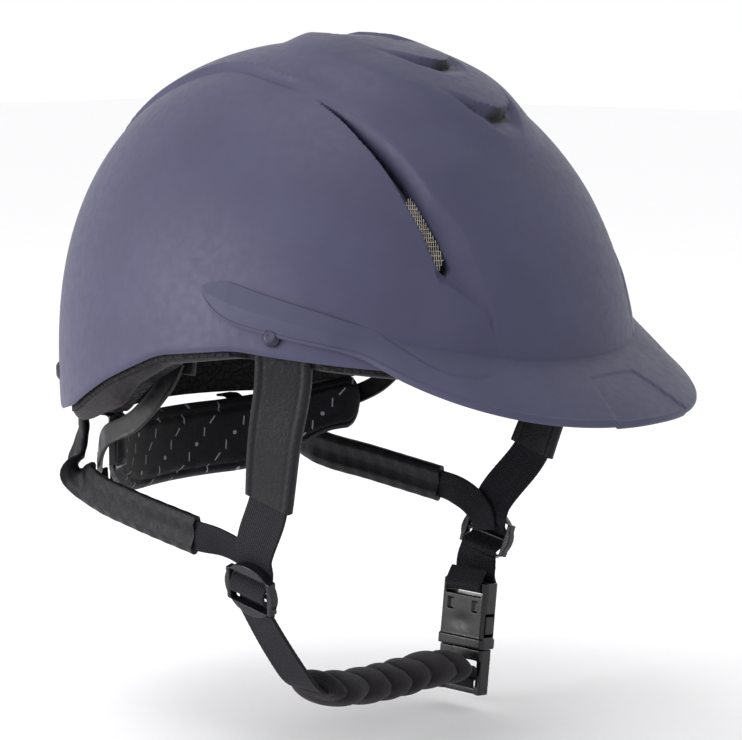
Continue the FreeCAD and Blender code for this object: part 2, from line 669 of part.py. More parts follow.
def rack(side):
    """Toothed bar: side 1 belongs to the left band and runs above the pinion, -1 the right, below."""
    pitch = pi * MODULE
    slope = tan(radians(PRESSURE_ANGLE))
    half_tooth = (pitch / 2 - BACKLASH) / 2
    front = CAVITY_FRONT + 0.4
    pitch_z = PITCH_RADIUS
    body = Part.makeBox(53, RACK_WALL, RACK_HEIGHT, V(-15, front, pitch_z + 1.2 * MODULE - 0.1))
    teeth = []
    for i in range(-3, 6):
        centre = (i + 0.5) * pitch
        tip_half = half_tooth - 0.8 * MODULE * slope
        root_half = half_tooth + 1.2 * MODULE * slope
        points = [V(centre - root_half, front, pitch_z + 1.2 * MODULE),
                  V(centre - tip_half, front, pitch_z - 0.8 * MODULE),
                  V(centre + tip_half, front, pitch_z - 0.8 * MODULE),
                  V(centre + root_half, front, pitch_z + 1.2 * MODULE)]
        teeth.append(Part.Face(Part.makePolygon(points + points[:1])).extrude(V(0, RACK_WALL, 0)))
    bar = keep_solid(body.fuse(teeth))
    if side < 0:
        bar.rotate(V(0, 0, 0), V(0, 1, 0), 180)
    return bar.translated(V(0, 0, DIAL_Z))


def dial_knob():
    """Knurled dial with a square socket for the pinion's drive."""
    start = HOUSING_BACK + 0.4
    knob = Part.makeCylinder(DIAL_RADIUS, 6.5, V(0, start, DIAL_Z), V(0, 1, 0))
    face = Part.makeCone(DIAL_RADIUS, DIAL_RADIUS - 2.5, 1.8, V(0, start + 6.5, DIAL_Z), V(0, 1, 0))
    knob = knob.fuse(face)
    for i in range(18):
        angle = 2 * pi * (i + 0.5) / 18
        x, z = (DIAL_RADIUS + 0.6) * sin(angle), (DIAL_RADIUS + 0.6) * cos(angle)
        knob = knob.cut(Part.makeCylinder(1.5, 12, V(x, start - 1, DIAL_Z + z), V(0, 1, 0)))
    knob = knob.cut(centred_box(4.1, 8, 4.1, V(0, start, DIAL_Z)))
    screw_hole = Part.makeCylinder(1.6, 30, V(0, start - 5, DIAL_Z), V(0, 1, 0))
    counterbore = Part.makeCylinder(3.4, 10, V(0, start + 6.2, DIAL_Z), V(0, 1, 0))
    return keep_solid(knob.cut(screw_hole).cut(counterbore))


def dial_screw():
    """Screw that holds the dial on the pinion's shaft."""
    seat = HOUSING_BACK + 0.4 + 6.2
    head = Part.makeCylinder(3.0, 1.6, V(0, seat + 0.05, DIAL_Z), V(0, 1, 0))
    shank = Part.makeCylinder(1.2, seat - CAVITY_FRONT - 1.5, V(0, CAVITY_FRONT + 1.6, DIAL_Z), V(0, 1, 0))
    slot = centred_box(4.5, 1.2, 0.8, V(0, seat + 1.65, DIAL_Z))
    return keep_solid(head.fuse(shank).cut(slot))


def fit_band(side):
    """Flexible band from its rack, round the head, up to its clip in the liner."""
    z = DIAL_Z + side * (PITCH_RADIUS + 1.2 * MODULE + RACK_HEIGHT / 2)
    up = V(0, 0, 1)
    rack_y = CAVITY_FRONT + 0.4 + RACK_WALL / 2
    path = [(V(38.4, rack_y, z), up), (V(41, rack_y, z), up), (V(50, 104, (z - 38) / 2), up),
            (V(64, 90, (z - 76) / 3), up), (V(80, 68, -28), up), (V(80, 50, -19), V(0, 0.3, 1)),
            (V(79, 33, -3), V(0, 0.8, 1)), (V(77, 26, 9), V(0, 1, 0.2))]
    band = ribbon(path, 9.0, 1.5)
    return band if side > 0 else mirrored(band)


def band_clip():
    """Clip on the liner's inner face that holds the front end of a band."""
    return oriented(centred_box(2.4, 14, 11), V(74.2, 26, 8), V(1, 0, 0.17), V(-0.17, 0, 1))


def cradle_hanger():
    """Left-hand webbing tab from the liner's lower edge to the cradle."""
    across = V(1, 0, 0)
    return ribbon([(V(38, 114, -27.4), across), (V(38, 108, -27.6), across),
                   (V(38, 103.5, -32), across), (V(38, 101.5, -40), across)], 10, 1.2)


def main():
    os.makedirs("parts", exist_ok=True)
    right_mesh = mesh_insert()
    front_plate, rear_plate = anchor_plate(0), anchor_plate(1)
    rivets = [rivet(0), rivet(1)]
    nodes = {
        "outer_shell": outer_shell(),
        "eps_liner": eps_liner(),
        "edge_trim": edge_trim(),
        "mesh_insert_right": right_mesh,
        "mesh_insert_left": mirrored(right_mesh),
        "comfort_headband": comfort_headband(),
        "crown_pad": crown_pad(),
        "hook_patches": hook_patches(),
        "peak": peak(),
        "anchor_plates": Part.makeCompound(
            [front_plate, rear_plate, mirrored(front_plate), mirrored(rear_plate)]),
        "front_rivets": Part.makeCompound([rivets[0], mirrored(rivets[0])]),
        "rear_rivets": Part.makeCompound([rivets[1], mirrored(rivets[1])]),
        "buckle_female": buckle_female(),
        "buckle_male": buckle_male(),
        "prong_front": prong(-1),
        "prong_rear": prong(1),
        "buckle_webbing": buckle_webbing(),
        "chin_webbing": chin_webbing(),
        "chin_pad": chin_pad(),
        "cradle_pad": cradle_pad(),
        "cradle_carrier": cradle_carrier(),
        "dial_housing": dial_housing(),
        "dial_knob": dial_knob(),
        "dial_screw": dial_screw(),
        "dial_pinion": pinion(),
        "left_rack": rack(1),
        "right_rack": rack(-1),
        "left_band": fit_band(1),
        "right_band": fit_band(-1),
    }
    pairs = {
        "front_sleeve": drilled(front_sleeve(), 0),
        "front_webbing": drilled(front_webbing(), 0),
        "rear_sleeve": drilled(rear_sleeve(), 1),
        "rear_webbing": drilled(rear_webbing(), 1),
        "slider": slider(),
        "band_clip": band_clip(),
        "cradle_hanger": cradle_hanger(),
    }
    for name, shape in pairs.items():
        nodes[name + "_left"] = shape
        nodes[name + "_right"] = mirrored(shape)
    for name, shape in nodes.items():
        shape.exportStep("parts/" + name + ".step")
        solids = len(shape.Solids)
        print(name, solids, "solids", round(shape.Volume / 1000, 2), "cm3", shape.isValid())


main()
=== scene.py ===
"""Looks of the riding helmet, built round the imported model. Shapes are worked out in millimetres."""
import json
import math

import bmesh
import bpy
import numpy as np
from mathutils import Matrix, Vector


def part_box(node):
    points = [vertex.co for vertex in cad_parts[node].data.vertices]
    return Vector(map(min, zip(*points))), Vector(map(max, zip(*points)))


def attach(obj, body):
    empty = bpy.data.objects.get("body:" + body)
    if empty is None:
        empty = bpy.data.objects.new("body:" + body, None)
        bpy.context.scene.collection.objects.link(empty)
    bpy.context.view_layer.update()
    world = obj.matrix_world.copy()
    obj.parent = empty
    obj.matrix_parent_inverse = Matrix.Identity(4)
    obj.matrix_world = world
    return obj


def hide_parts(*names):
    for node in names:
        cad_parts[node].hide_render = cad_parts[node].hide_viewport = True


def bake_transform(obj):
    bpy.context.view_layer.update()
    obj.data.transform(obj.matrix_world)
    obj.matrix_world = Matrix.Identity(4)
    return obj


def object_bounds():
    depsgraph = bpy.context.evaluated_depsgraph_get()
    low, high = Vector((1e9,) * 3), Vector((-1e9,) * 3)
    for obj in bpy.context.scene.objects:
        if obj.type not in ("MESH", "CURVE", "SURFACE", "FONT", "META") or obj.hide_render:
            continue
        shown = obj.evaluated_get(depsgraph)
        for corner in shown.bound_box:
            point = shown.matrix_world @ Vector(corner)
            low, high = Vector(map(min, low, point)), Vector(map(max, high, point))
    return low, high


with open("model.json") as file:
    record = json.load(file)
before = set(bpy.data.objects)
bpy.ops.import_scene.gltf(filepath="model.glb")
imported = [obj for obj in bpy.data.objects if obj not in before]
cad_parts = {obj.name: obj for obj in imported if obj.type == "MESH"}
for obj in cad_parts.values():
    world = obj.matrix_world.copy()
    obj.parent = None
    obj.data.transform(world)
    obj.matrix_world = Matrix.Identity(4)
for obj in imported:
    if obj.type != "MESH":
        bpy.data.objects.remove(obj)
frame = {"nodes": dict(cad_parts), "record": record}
CAD_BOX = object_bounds()
MM = 0.001


def limits(node):
    """Lowest and highest corner of a CAD node in millimetres."""
    low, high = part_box(node)
    return np.array(low) / MM, np.array(high) / MM


SHELL_LOW, SHELL_HIGH = limits("outer_shell")
HALF_WIDTH = SHELL_HIGH[0]
REAR_LENGTH = SHELL_HIGH[1]
FRONT_LENGTH = -SHELL_LOW[1]
DOME_HEIGHT = SHELL_HIGH[2] - 2.5
PEAK_REACH = -limits("peak")[0][1]

PLAN_POWER = 2.08              # roundness of the dome's plan outline
SHELL_WALL = 2.2
FULL_TURN = 2 * math.pi
# Heights along y: the shell's lower edge, and the lower edge of the cloth trim inside it
RIM = ((-170, 14.5), (-95, 15.5), (-30, 21.0), (10, 16.0), (46, 2.0), (81, -14.2), (112, -21.5),
       (170, -21.5))
TRIM_EDGE = ((-170, 9.5), (-95, 10.5), (-30, 16.2), (10, 10.5), (34, -0.5), (47, -11.5), (81, -21.5),
             (110, -27.0), (170, -27.5))


# ---------------------------------------------------------------- curves and meshes

def vec(*values):
    return np.array(values, float)


def line(knots, x, blur=5.0):
    """Value at x of a polyline given as (x, value) knots, with its corners rounded."""
    kx, kv = zip(*knots)
    steps = (-1, -0.5, 0, 0.5, 1)
    return sum(np.interp(x + step * blur, kx, kv) for step in steps) / len(steps)


def ramp(x, start, end):
    """Smooth step from 0 at start to 1 at end."""
    t = np.clip((np.asarray(x, float) - start) / (end - start), 0, 1)
    return t * t * (3 - 2 * t)


def bell(x, middle, width):
    return np.exp(-((np.asarray(x, float) - middle) / width) ** 2)


def unit(vectors):
    vectors = np.asarray(vectors, float)
    return vectors / np.maximum(np.linalg.norm(vectors, axis=-1, keepdims=True), 1e-9)


def rounding(t, lowest=0.0):
    """Quarter circle: 1 where t is 0 or less, falling to lowest where t is 1."""
    return np.sqrt(np.clip(1 - np.asarray(t, float).clip(0) ** 2, lowest, 1))


def lengths(path):
    """Distance along a path at each of its points."""
    return np.concatenate([[0], np.cumsum(np.linalg.norm(np.diff(path, axis=0), axis=1))])


def turns(count, start=-math.pi):
    """Evenly spaced directions, once all the way round."""
    return np.linspace(start, start + FULL_TURN, count + 1)[:-1]


def folded(points):
    """Distance from the middle plane, y and z: the helmet is the same on both sides."""
    return np.abs(points[..., 0]), points[..., 1], points[..., 2]


def spline(points, step):
    """Smooth line through points, with a point about every step millimetres."""
    points = np.asarray(points, float)
    padded = np.vstack([2 * points[0] - points[1], points, 2 * points[-1] - points[-2]])
    out = []
    for a, b, c, d in zip(padded, padded[1:], padded[2:], padded[3:]):
        gap = np.linalg.norm(c[:3] - b[:3])
        count = max(int(gap / step), 1)
        tangent_b = (c - a) * gap / (np.linalg.norm(c[:3] - b[:3]) + np.linalg.norm(b[:3] - a[:3]))
        tangent_c = (d - b) * gap / (np.linalg.norm(d[:3] - c[:3]) + np.linalg.norm(c[:3] - b[:3]))
        t = (np.arange(count) / count)[:, None]
        out.append((2 * t ** 3 - 3 * t ** 2 + 1) * b + (t ** 3 - 2 * t ** 2 + t) * tangent_b
                   + (3 * t ** 2 - 2 * t ** 3) * c + (t ** 3 - t ** 2) * tangent_c)
    return np.vstack(out + [points[-1:]])


def grid_faces(rows, columns, first=0):
    """Quads between rows of points that each close on themselves."""
    faces = []
    for low in range(first, first + (rows - 1) * columns, columns):
        for c in range(columns):
            d = (c + 1) % columns
            faces.append((low + c, low + d, low + columns + d, low + columns + c))
    return faces


def tube_faces(rings, sides):
    """Closed skin over rings of points, capped at both ends."""
    last = (rings - 1) * sides
    return grid_faces(rings, sides) + [tuple(reversed(range(sides))), tuple(range(last, last + sides))]


def bowl(rings, top, bottom):
    """Skin over rings from the crown, round the lower edge and back up inside, closed at two heights."""
    columns = rings.shape[1]
    points = np.vstack([[[0, 0, top]], rings.reshape(-1, 3), [[0, 0, bottom]]])
    faces = grid_faces(len(rings), columns, first=1)
    end = len(points) - 1
    for c in range(columns):
        d = (c + 1) % columns
        faces += [(0, 1 + d, 1 + c), (end - columns + c, end - columns + d, end)]
    return points, faces


def set_weave(mesh, places):
    """Each point's place in the weave in millimetres, for the cloth materials."""
    layer = mesh.attributes.new("cloth", "FLOAT_VECTOR", "POINT")
    layer.data.foreach_set("vector", np.asarray(places, np.float32).ravel())


def add_piece(name, points, faces, material, body="root", angle=35.0, cloth=None):
    """New object from points in millimetres; edges sharper than angle are shaded sharp."""
    mesh = bpy.data.meshes.new(name)
    mesh.from_pydata((np.reshape(points, (-1, 3)) * MM).tolist(), [], faces)
    mesh.materials.append(material)
    if cloth is not None:
        set_weave(mesh, cloth)
    edit = bmesh.new()
    edit.from_mesh(mesh)
    bmesh.ops.recalc_face_normals(edit, faces=edit.faces)
    edit.to_mesh(mesh)
    edit.free()
    mesh.polygons.foreach_set("use_smooth", [True] * len(mesh.polygons))
    mesh.set_sharp_from_angle(angle=math.radians(angle))
    piece = new_object(name, mesh)
    if body:
        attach(piece, body)
    return piece


def new_object(name, data):
    thing = bpy.data.objects.new(name, data)
    bpy.context.scene.collection.objects.link(thing)
    return thing


def stand_for(piece, node):
    """The piece replaces a CAD node, which is hidden."""
    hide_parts(node)
    return piece


def apply_modifiers(piece):
    """Bake a piece's modifiers into its mesh."""
    depsgraph = bpy.context.evaluated_depsgraph_get()
    mesh = bpy.data.meshes.new_from_object(piece.evaluated_get(depsgraph))
    piece.modifiers.clear()
    old, piece.data = piece.data, mesh
    bpy.data.meshes.remove(old)


def node_body(node):
    """Name of the body that a CAD node rides on."""
    bodies = frame["record"]["behaviour"]["bodies"]
    return next((name for name, nodes in bodies.items() if node in nodes), "root")


def places(mesh):
    """Points of a mesh in millimetres."""
    flat = np.empty(len(mesh.vertices) * 3)
    mesh.vertices.foreach_get("co", flat)
    return flat.reshape(-1, 3) / MM


def moulded(node, material, voxel=0.35, smooth=3, name=None, shape=None):
    """Copy of a CAD node with soft, moulded edges; shape(points) can add fine relief in millimetres."""
    piece = new_object(name or node + "_body", frame["nodes"][node].data.copy())
    remesh = piece.modifiers.new("skin", "REMESH")
    remesh.mode = "VOXEL"
    remesh.voxel_size = voxel * MM
    relax = piece.modifiers.new("soften", "SMOOTH")
    relax.factor = 0.5
    relax.iterations = smooth
    apply_modifiers(piece)
    mesh = piece.data
    mesh.materials.clear()
    mesh.materials.append(material)
    mesh.polygons.foreach_set("use_smooth", [True] * len(mesh.polygons))
    if shape:
        mesh.vertices.foreach_set("co", (shape(places(mesh)) * MM).ravel())
        mesh.update()
    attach(piece, node_body(node))
    return stand_for(piece, node)


# ---------------------------------------------------------------- materials

class Shader:
    """A principled material, built up node by node."""

    def __init__(self, name, colour, **sockets):
        self.material = bpy.data.materials.new(name)
        self.material.use_nodes = True
        self.tree = self.material.node_tree
        self.surface = self.tree.nodes["Principled BSDF"]
        self.set("Base Color", rgb(colour))
        for socket, value in sockets.items():
            self.set(socket.replace("_", " "), value)

    def set(self, socket, value):
        self.join(self.surface.inputs[socket], value)

    def join(self, socket, value):
        if isinstance(value, bpy.types.NodeSocket):
            self.tree.links.new(value, socket)
        else:
            socket.default_value = value

    def node(self, kind, inputs, **settings):
        node = self.tree.nodes.new("ShaderNode" + kind)
        for key, value in settings.items():
            setattr(node, key, value)
        for key, value in inputs.items():
            self.join(node.inputs[key], value)
        return node

    def maths(self, operation, a, b=0.0):
        return self.node("Math", {0: a, 1: b}, operation=operation).outputs[0]

    def plus(self, a, b):
        return self.maths("ADD", a, b)

    def minus(self, a, b):
        return self.maths("SUBTRACT", a, b)

    def times(self, a, b):
        return self.maths("MULTIPLY", a, b)

    def size(self, a):
        return self.maths("ABSOLUTE", a)

    def wave(self, a, period):
        return self.maths("SINE", self.times(a, FULL_TURN / period))

    def tile(self, a, pitch):
        """Number of the tile that a falls in, and how far it is from that tile's middle."""
        count = self.maths("DIVIDE", a, pitch)
        return self.maths("FLOOR", count), self.times(self.minus(self.maths("FRACT", count), 0.5), pitch)

    def place(self):
        return self.node("TexCoord", {}).outputs["Object"]

    def stored(self, name, output="Fac"):
        """Value that the mesh's points hold."""
        return self.node("Attribute", {}, attribute_name=name).outputs[output]

    def weave(self, turn=0.0):
        """Places along and across the cloth in millimetres, turned in its plane."""
        inputs = {"Vector": self.stored("cloth", "Vector"), "Angle": turn}
        turned = self.node("VectorRotate", inputs, rotation_type="Z_AXIS").outputs[0]
        return self.node("SeparateXYZ", {0: turned}).outputs[:2]

    def noise(self, scale, detail, roughness=0.55):
        inputs = {"Scale": scale, "Detail": detail, "Roughness": roughness, "Vector": self.place()}
        return self.node("TexNoise", inputs).outputs["Fac"]

    def cells(self, scale, feature, where=None):
        inputs = {"Scale": scale, "Vector": where or self.place()}
        return self.node("TexVoronoi", inputs, feature=feature).outputs["Distance"]

    def spread(self, value, low, high, new_low=0.0, new_high=1.0):
        inputs = {"Value": value, "From Min": low, "From Max": high, "To Min": new_low, "To Max": new_high}
        return self.node("MapRange", inputs, interpolation_type="SMOOTHSTEP").outputs["Result"]

    def patches(self, scale, detail, low=0.0, high=1.0):
        """Soft noise between two values."""
        return self.spread(self.noise(scale, detail), 0.3, 0.7, low, high)

    def tint(self, factor, *colours):
        """Between two colours by a factor from 0 to 1."""
        mix = self.node("Mix", {}, data_type="RGBA")
        self.join(mix.inputs[0], factor)
        for socket, colour in zip(mix.inputs[6:8], colours):
            self.join(socket, rgb(colour) if isinstance(colour, tuple) else colour)
        return mix.outputs[2]

    def finish(self, shade, dark, light, roughness, *bumps):
        """Colour from dark to light by shade, roughness, and bumps as (height, depth in millimetres)."""
        self.set("Base Color", self.tint(shade, dark, light))
        self.set("Roughness", roughness)
        normal = None
        for height, depth in bumps:
            inputs = {"Height": height, "Distance": depth * MM, "Strength": 1.0}
            if normal is not None:
                inputs["Normal"] = normal
            normal = self.node("Bump", inputs).outputs["Normal"]
        self.set("Normal", normal)
        return self.material


def rgb(colour):
    """Linear colour from screen values of 0 to 255."""
    def linear(v):
        v /= 255
        return v / 12.92 if v <= 0.04045 else ((v + 0.055) / 1.055) ** 2.4
    return (*[linear(v) for v in colour], 1.0)


def soft_touch(name, colour, worn):
    """Matt rubbery paint: faint cloudiness and fine tooth, with painted near-black shade in the gaps and
    vent mouths.
    """
    s = Shader(name, colour, Specular_IOR_Level=0.32, Sheen_Weight=0.03, Sheen_Roughness=0.5)
    tooth = s.noise(2600, 2)
    # the near-black (3, 3, 4) is painted shade, mixed in by the shade stored on the shell's points
    return s.finish(s.stored("painted_shade"), s.tint(s.patches(38, 4), colour, worn), (3, 3, 4),
                    s.plus(s.patches(260, 3, 0.43, 0.52), s.times(tooth, 0.08)),
                    (tooth, 0.02), (s.noise(420, 3), 0.035))


def plastic(name, colour, grain, gloss):
    """Moulded plastic with spark-eroded texture and slightly polished high spots."""
    s = Shader(name, colour, Specular_IOR_Level=0.36)
    light = tuple(int(v * 1.22) + 3 for v in colour)
    return s.finish(s.spread(s.noise(160, 4), 0.35, 0.7), colour, light,
                    s.spread(s.noise(300, 4), 0.25, 0.75, gloss - 0.07, gloss + 0.13),
                    (s.noise(2200, 3), grain), (s.noise(240, 2), 0.04))


def metal(name, colour, roughness):
    """Brushed metal with fine scratches."""
    s = Shader(name, colour, Metallic=1.0)
    scratch = s.noise(900, 5)
    return s.finish(s.patches(300, 4), colour, tuple(int(v * 0.75) for v in colour),
                    s.spread(scratch, 0.3, 0.7, roughness - 0.08, roughness + 0.15), (scratch, 0.015))


def bead_foam():
    """Expanded bead foam: packed cells with sunk joints."""
    s = Shader("bead_foam", (14, 13, 16), Specular_IOR_Level=0.25)
    joint = s.cells(260, "DISTANCE_TO_EDGE")
    return s.finish(s.spread(joint, 0.0, 0.12), (7, 7, 8), (20, 19, 22), s.patches(500, 2, 0.65, 0.85),
                    (s.spread(joint, 0.0, 0.2), 0.35), (s.noise(2000, 2), 0.03))


def brushed_cloth():
    """Short brushed pile of the edge trim, brownish black."""
    s = Shader("brushed_cloth", (30, 26, 30), Sheen_Weight=0.12, Sheen_Roughness=0.45,
               Specular_IOR_Level=0.2)
    pile, clump = s.noise(2300, 5, 0.7), s.noise(330, 4)
    return s.finish(s.spread(s.times(pile, clump), 0.14, 0.42), (13, 11, 14), (46, 40, 45),
                    s.spread(clump, 0.3, 0.7, 0.85, 1.0), (pile, 0.25), (clump, 0.2))


def knit(s, pitch):
    """Height of small knitted loops from 0 to 1, and their fuzz."""
    along, across = s.weave()
    return s.spread(s.plus(s.wave(along, pitch), s.wave(across, pitch)), -2.0, 2.0), s.noise(1900, 4)


def plain_knit(name, colour, light, pitch):
    """Fine knitted cloth with fuzz."""
    s = Shader(name, colour, Sheen_Weight=0.1, Sheen_Roughness=0.4, Specular_IOR_Level=0.22)
    loops, fuzz = knit(s, pitch)
    return s.finish(s.spread(s.times(loops, fuzz), 0.1, 0.5), colour, light,
                    s.spread(fuzz, 0.3, 0.7, 0.8, 1.0), (loops, 0.18), (fuzz, 0.1))


PRINT_TURN, PRINT_SCALE = math.radians(-47), 1.3
PRINT_ROW, PRINT_COLUMN, PRINT_SHIFT = 11.0, 5.6, 2.7     # tile sizes and the step from row to row
DOT_RADIUS, DASH_HALF, TICK_HALF, TICK_LEAN, TICK_THIN = 0.5, 1.5, 1.0, 0.8, 0.78


def printed_knit():
    """Black lining with slanting rows of small dots, dashes and leaning ticks in pale grey."""
    s = Shader("printed_lining", (21, 20, 26), Sheen_Weight=0.12, Sheen_Roughness=0.4,
               Specular_IOR_Level=0.25)
    along, across = (s.maths("DIVIDE", part, PRINT_SCALE) for part in s.weave(PRINT_TURN))
    row, v = s.tile(across, PRINT_ROW)
    column, u = s.tile(s.plus(along, s.times(row, PRINT_SHIFT)), PRINT_COLUMN)
    kind = s.maths("FLOORED_MODULO", s.plus(column, s.times(row, 2.0)), 4.0)
    dot = s.minus(s.maths("SQRT", s.plus(s.times(u, u), s.times(v, v))), DOT_RADIUS)
    dash = s.maths("MAXIMUM", s.minus(s.size(u), DASH_HALF), s.size(v))
    lean = s.times(s.size(s.minus(v, s.times(u, TICK_LEAN))), TICK_THIN)
    tick = s.maths("MAXIMUM", lean, s.minus(s.size(u), TICK_HALF))
    is_dot = s.maths("LESS_THAN", kind, 0.5)
    is_dash = s.maths("LESS_THAN", s.size(s.minus(kind, 2.0)), 0.5)
    is_tick = s.minus(1.0, s.plus(is_dot, is_dash))
    gap = s.plus(s.plus(s.times(dot, is_dot), s.times(dash, is_dash)), s.times(tick, is_tick))
    ink = s.spread(gap, 0.2, 0.34, 1.0, 0.0)
    loops, fuzz = knit(s, 0.85)
    worn_ink = s.times(ink, s.spread(s.times(loops, fuzz), 0.05, 0.3, 0.55, 1.0))
    ground = s.tint(s.spread(loops, 0.1, 0.9), (6, 6, 9), (17, 16, 22))
    return s.finish(worn_ink, ground, (150, 148, 158), s.spread(fuzz, 0.3, 0.7, 0.75, 0.95),
                    (loops, 0.15), (fuzz, 0.08), (ink, 0.06))


def leather():
    """Smooth synthetic leather: small grain cells over wider pebbling."""
    s = Shader("strap_leather", (12, 11, 15), Specular_IOR_Level=0.2, Coat_Weight=0.03, Coat_Roughness=0.35)
    stretched = s.node("Mapping", {"Vector": s.place(), "Scale": (1.0, 1.0, 2.1)}).outputs[0]
    grain = s.spread(s.cells(900, "DISTANCE_TO_EDGE", stretched), 0, 0.25)
    pebble = s.spread(s.cells(420, "DISTANCE_TO_EDGE"), 0, 0.3)
    return s.finish(s.patches(140, 4), (12, 11, 15), (18, 17, 22), s.patches(700, 4, 0.36, 0.54),
                    (grain, 0.04), (pebble, 0.05), (s.noise(110, 3), 0.12))


def webbing_cloth():
    """Woven narrow webbing: ribs across, herringbone along."""
    s = Shader("strap_webbing", (9, 9, 12), Sheen_Weight=0.03, Sheen_Roughness=0.35, Specular_IOR_Level=0.18)
    along, across = s.weave()
    zigzag = s.size(s.minus(s.maths("FRACT", s.maths("DIVIDE", across, 5.0)), 0.5))
    ribs = s.wave(s.plus(along, s.times(zigzag, 3.4)), 1.15)
    weave = s.spread(s.plus(ribs, s.times(s.wave(across, 0.95), 0.8)), -1.6, 1.6)
    fibre = s.noise(2400, 4)
    return s.finish(s.spread(s.times(weave, fibre), 0.08, 0.5), (9, 9, 12), (36, 35, 43),
                    s.spread(fibre, 0.3, 0.7, 0.55, 0.82), (weave, 0.2), (fibre, 0.05))


def hook_tape():
    """Hook tape: dense rows of tiny hooks."""
    s = Shader("hook_tape", (24, 24, 27), Specular_IOR_Level=0.4)
    hooks = s.cells(1100, "F1")
    return s.finish(s.spread(hooks, 0.0, 0.5), (52, 52, 56), (14, 14, 16), s.patches(900, 3, 0.55, 0.8),
                    (s.spread(hooks, 0.0, 0.5, 1.0, 0.0), 0.3))


def studio_floor():
    """Pale paper sweep with a trace of fibre."""
    s = Shader("paper_floor", (250, 250, 251), Specular_IOR_Level=0.1)
    return s.finish(s.noise(60, 4), (248, 248, 250), (253, 253, 254), 0.9, (s.noise(900, 3), 0.02))


SHELL_PAINT = soft_touch("shell_paint", (60, 60, 86), (56, 56, 81))
PEAK_PAINT = soft_touch("peak_paint", (60, 61, 85), (56, 57, 80))
FOAM = bead_foam()
TRIM_CLOTH = brushed_cloth()
PRINTED = printed_knit()
LINING = plain_knit("plain_lining", (20, 19, 24), (42, 40, 48), 0.9)
PAD_CLOTH = plain_knit("pad_cloth", (18, 16, 20), (50, 45, 52), 0.7)
LEATHER = leather()
WEBBING = webbing_cloth()
BUCKLE_PLASTIC = plastic("buckle_plastic", (12, 11, 15), 0.015, 0.27)
SLIDER_PLASTIC = plastic("slider_plastic", (17, 16, 21), 0.012, 0.24)
BLACK_PLASTIC = plastic("black_plastic", (11, 11, 14), 0.03, 0.4)
STEEL = metal("plate_steel", (150, 150, 155), 0.35)
RIVET_METAL = metal("rivet_metal", (72, 71, 86), 0.42)
WIRE = metal("mesh_wire", (196, 190, 176), 0.3)
HOOK = hook_tape()


# ---------------------------------------------------------------- dome

def dome(azimuth, elevation):
    """Points on the bare dome. Azimuth runs from the front towards +X."""
    c, s = np.cos(azimuth), np.sin(azimuth)
    length = np.where(c > 0, FRONT_LENGTH, REAR_LENGTH)
    plan = (np.abs(c / length) ** PLAN_POWER + np.abs(s / HALF_WIDTH) ** PLAN_POWER) ** (-1 / PLAN_POWER)
    power = side_power(c)
    ce, se = np.abs(np.cos(elevation)) + 1e-9, np.sin(elevation)
    k = (ce ** power + np.abs(se) ** power) ** (-1 / power)
    return np.stack([s * plan * ce * k, -c * plan * ce * k, DOME_HEIGHT * se * k], -1)


def side_power(c):
    """The side outline is round at the front and squarer at the back."""
    return 2.0 + 0.35 * ramp(-c, -0.5, 1.0)


def dome_normal(points):
    """Outward direction of the dome near points on it."""
    x, y, z = points[..., 0], points[..., 1], points[..., 2]
    length = np.where(y < 0, FRONT_LENGTH, REAR_LENGTH)
    flat = np.hypot(x, y) + 1e-9
    power = side_power(-y / flat)
    level = (np.abs(x / HALF_WIDTH) ** PLAN_POWER + np.abs(y / length) ** PLAN_POWER) + 1e-9
    common = level ** (power / PLAN_POWER - 1)
    nx = common * np.abs(x / HALF_WIDTH) ** (PLAN_POWER - 1) / HALF_WIDTH * np.sign(x)
    ny = common * np.abs(y / length) ** (PLAN_POWER - 1) / length * np.sign(y)
    nz = np.abs(z / DOME_HEIGHT) ** (power - 1) / DOME_HEIGHT * np.sign(z)
    return unit(np.stack([nx, ny, nz], -1))


def elevation_at(azimuth, height_line, blur=5.0):
    """Elevation where the dome meets a height given along y."""
    elevation = np.zeros_like(azimuth)
    power = side_power(np.cos(azimuth))
    for _ in range(14):
        z = line(height_line, dome(azimuth, elevation)[..., 1], blur)
        share = np.clip(np.abs(z) / DOME_HEIGHT, 1e-6, 0.999)
        elevation = np.sign(z) * np.arctan((share ** -power - 1) ** (-1 / power))
    return elevation


# Lines on the dome as (y, half-width): the slot beside each side panel, the crease where the facet
# that falls into it starts, and the top of the slot's wall on the panel's side
SLOT = ((-118, 44.5), (-115, 45.5), (-108, 51.5), (-104, 54.5), (-100, 57), (-93, 58), (-83, 58), (-71, 57),
        (-57, 56), (-30, 52), (-24, 51))
CREASE = ((-118, 44.5), (-100, 45.5), (-89, 49), (-71, 49.5), (-57, 50), (-30, 50.6), (-24, 50.6))
FLOOR_EDGE = ((-118, 45), (-115, 46.6), (-101, 59.5), (-98, 58.3), (-83, 58.2), (-71, 57.2), (-57, 56.2),
              (-30, 52.2), (-24, 51.2))
SLOT_DEPTH = ((-117, 0), (-106, 3.6), (-98, 5.4), (-85, 6), (-65, 5), (-50, 3.2), (-36, 1.2), (-28, 0))
# The open gap under the panel's edge: width and extra depth along the slot
GAP_WIDTH = ((-105, 0.3), (-101, 2.6), (-96, 3.6), (-80, 3.2), (-60, 2.0), (-45, 1.3), (-33, 0.5))
GAP_DEPTH = ((-102.5, 0), (-100, 6), (-60, 5.5), (-45, 4), (-34, 1), (-31, 0))
# The shallow crease across the side panel, and the edge of the raised middle band
PANEL_CREASE = ((-101, 59.5), (-87, 70), (-71, 78), (-60, 83))
BAND_EDGE = ((-45, 50), (-26, 48), (-3, 47), (29, 41), (60, 41), (95, 37), (130, 34))

PANEL_Z, BAND_Z = 24, 20      # heights under which the side panels and the middle band end
# Crown vents: start, lip and tip along y, then half-width, rise of the tongue and depth of the floor
VENTS = ((-22.0, -52.0, -61.0, 18.0, 1.3, 2.4), (-61.0, -81.5, -91.0, 18.0, 1.5, 2.8))


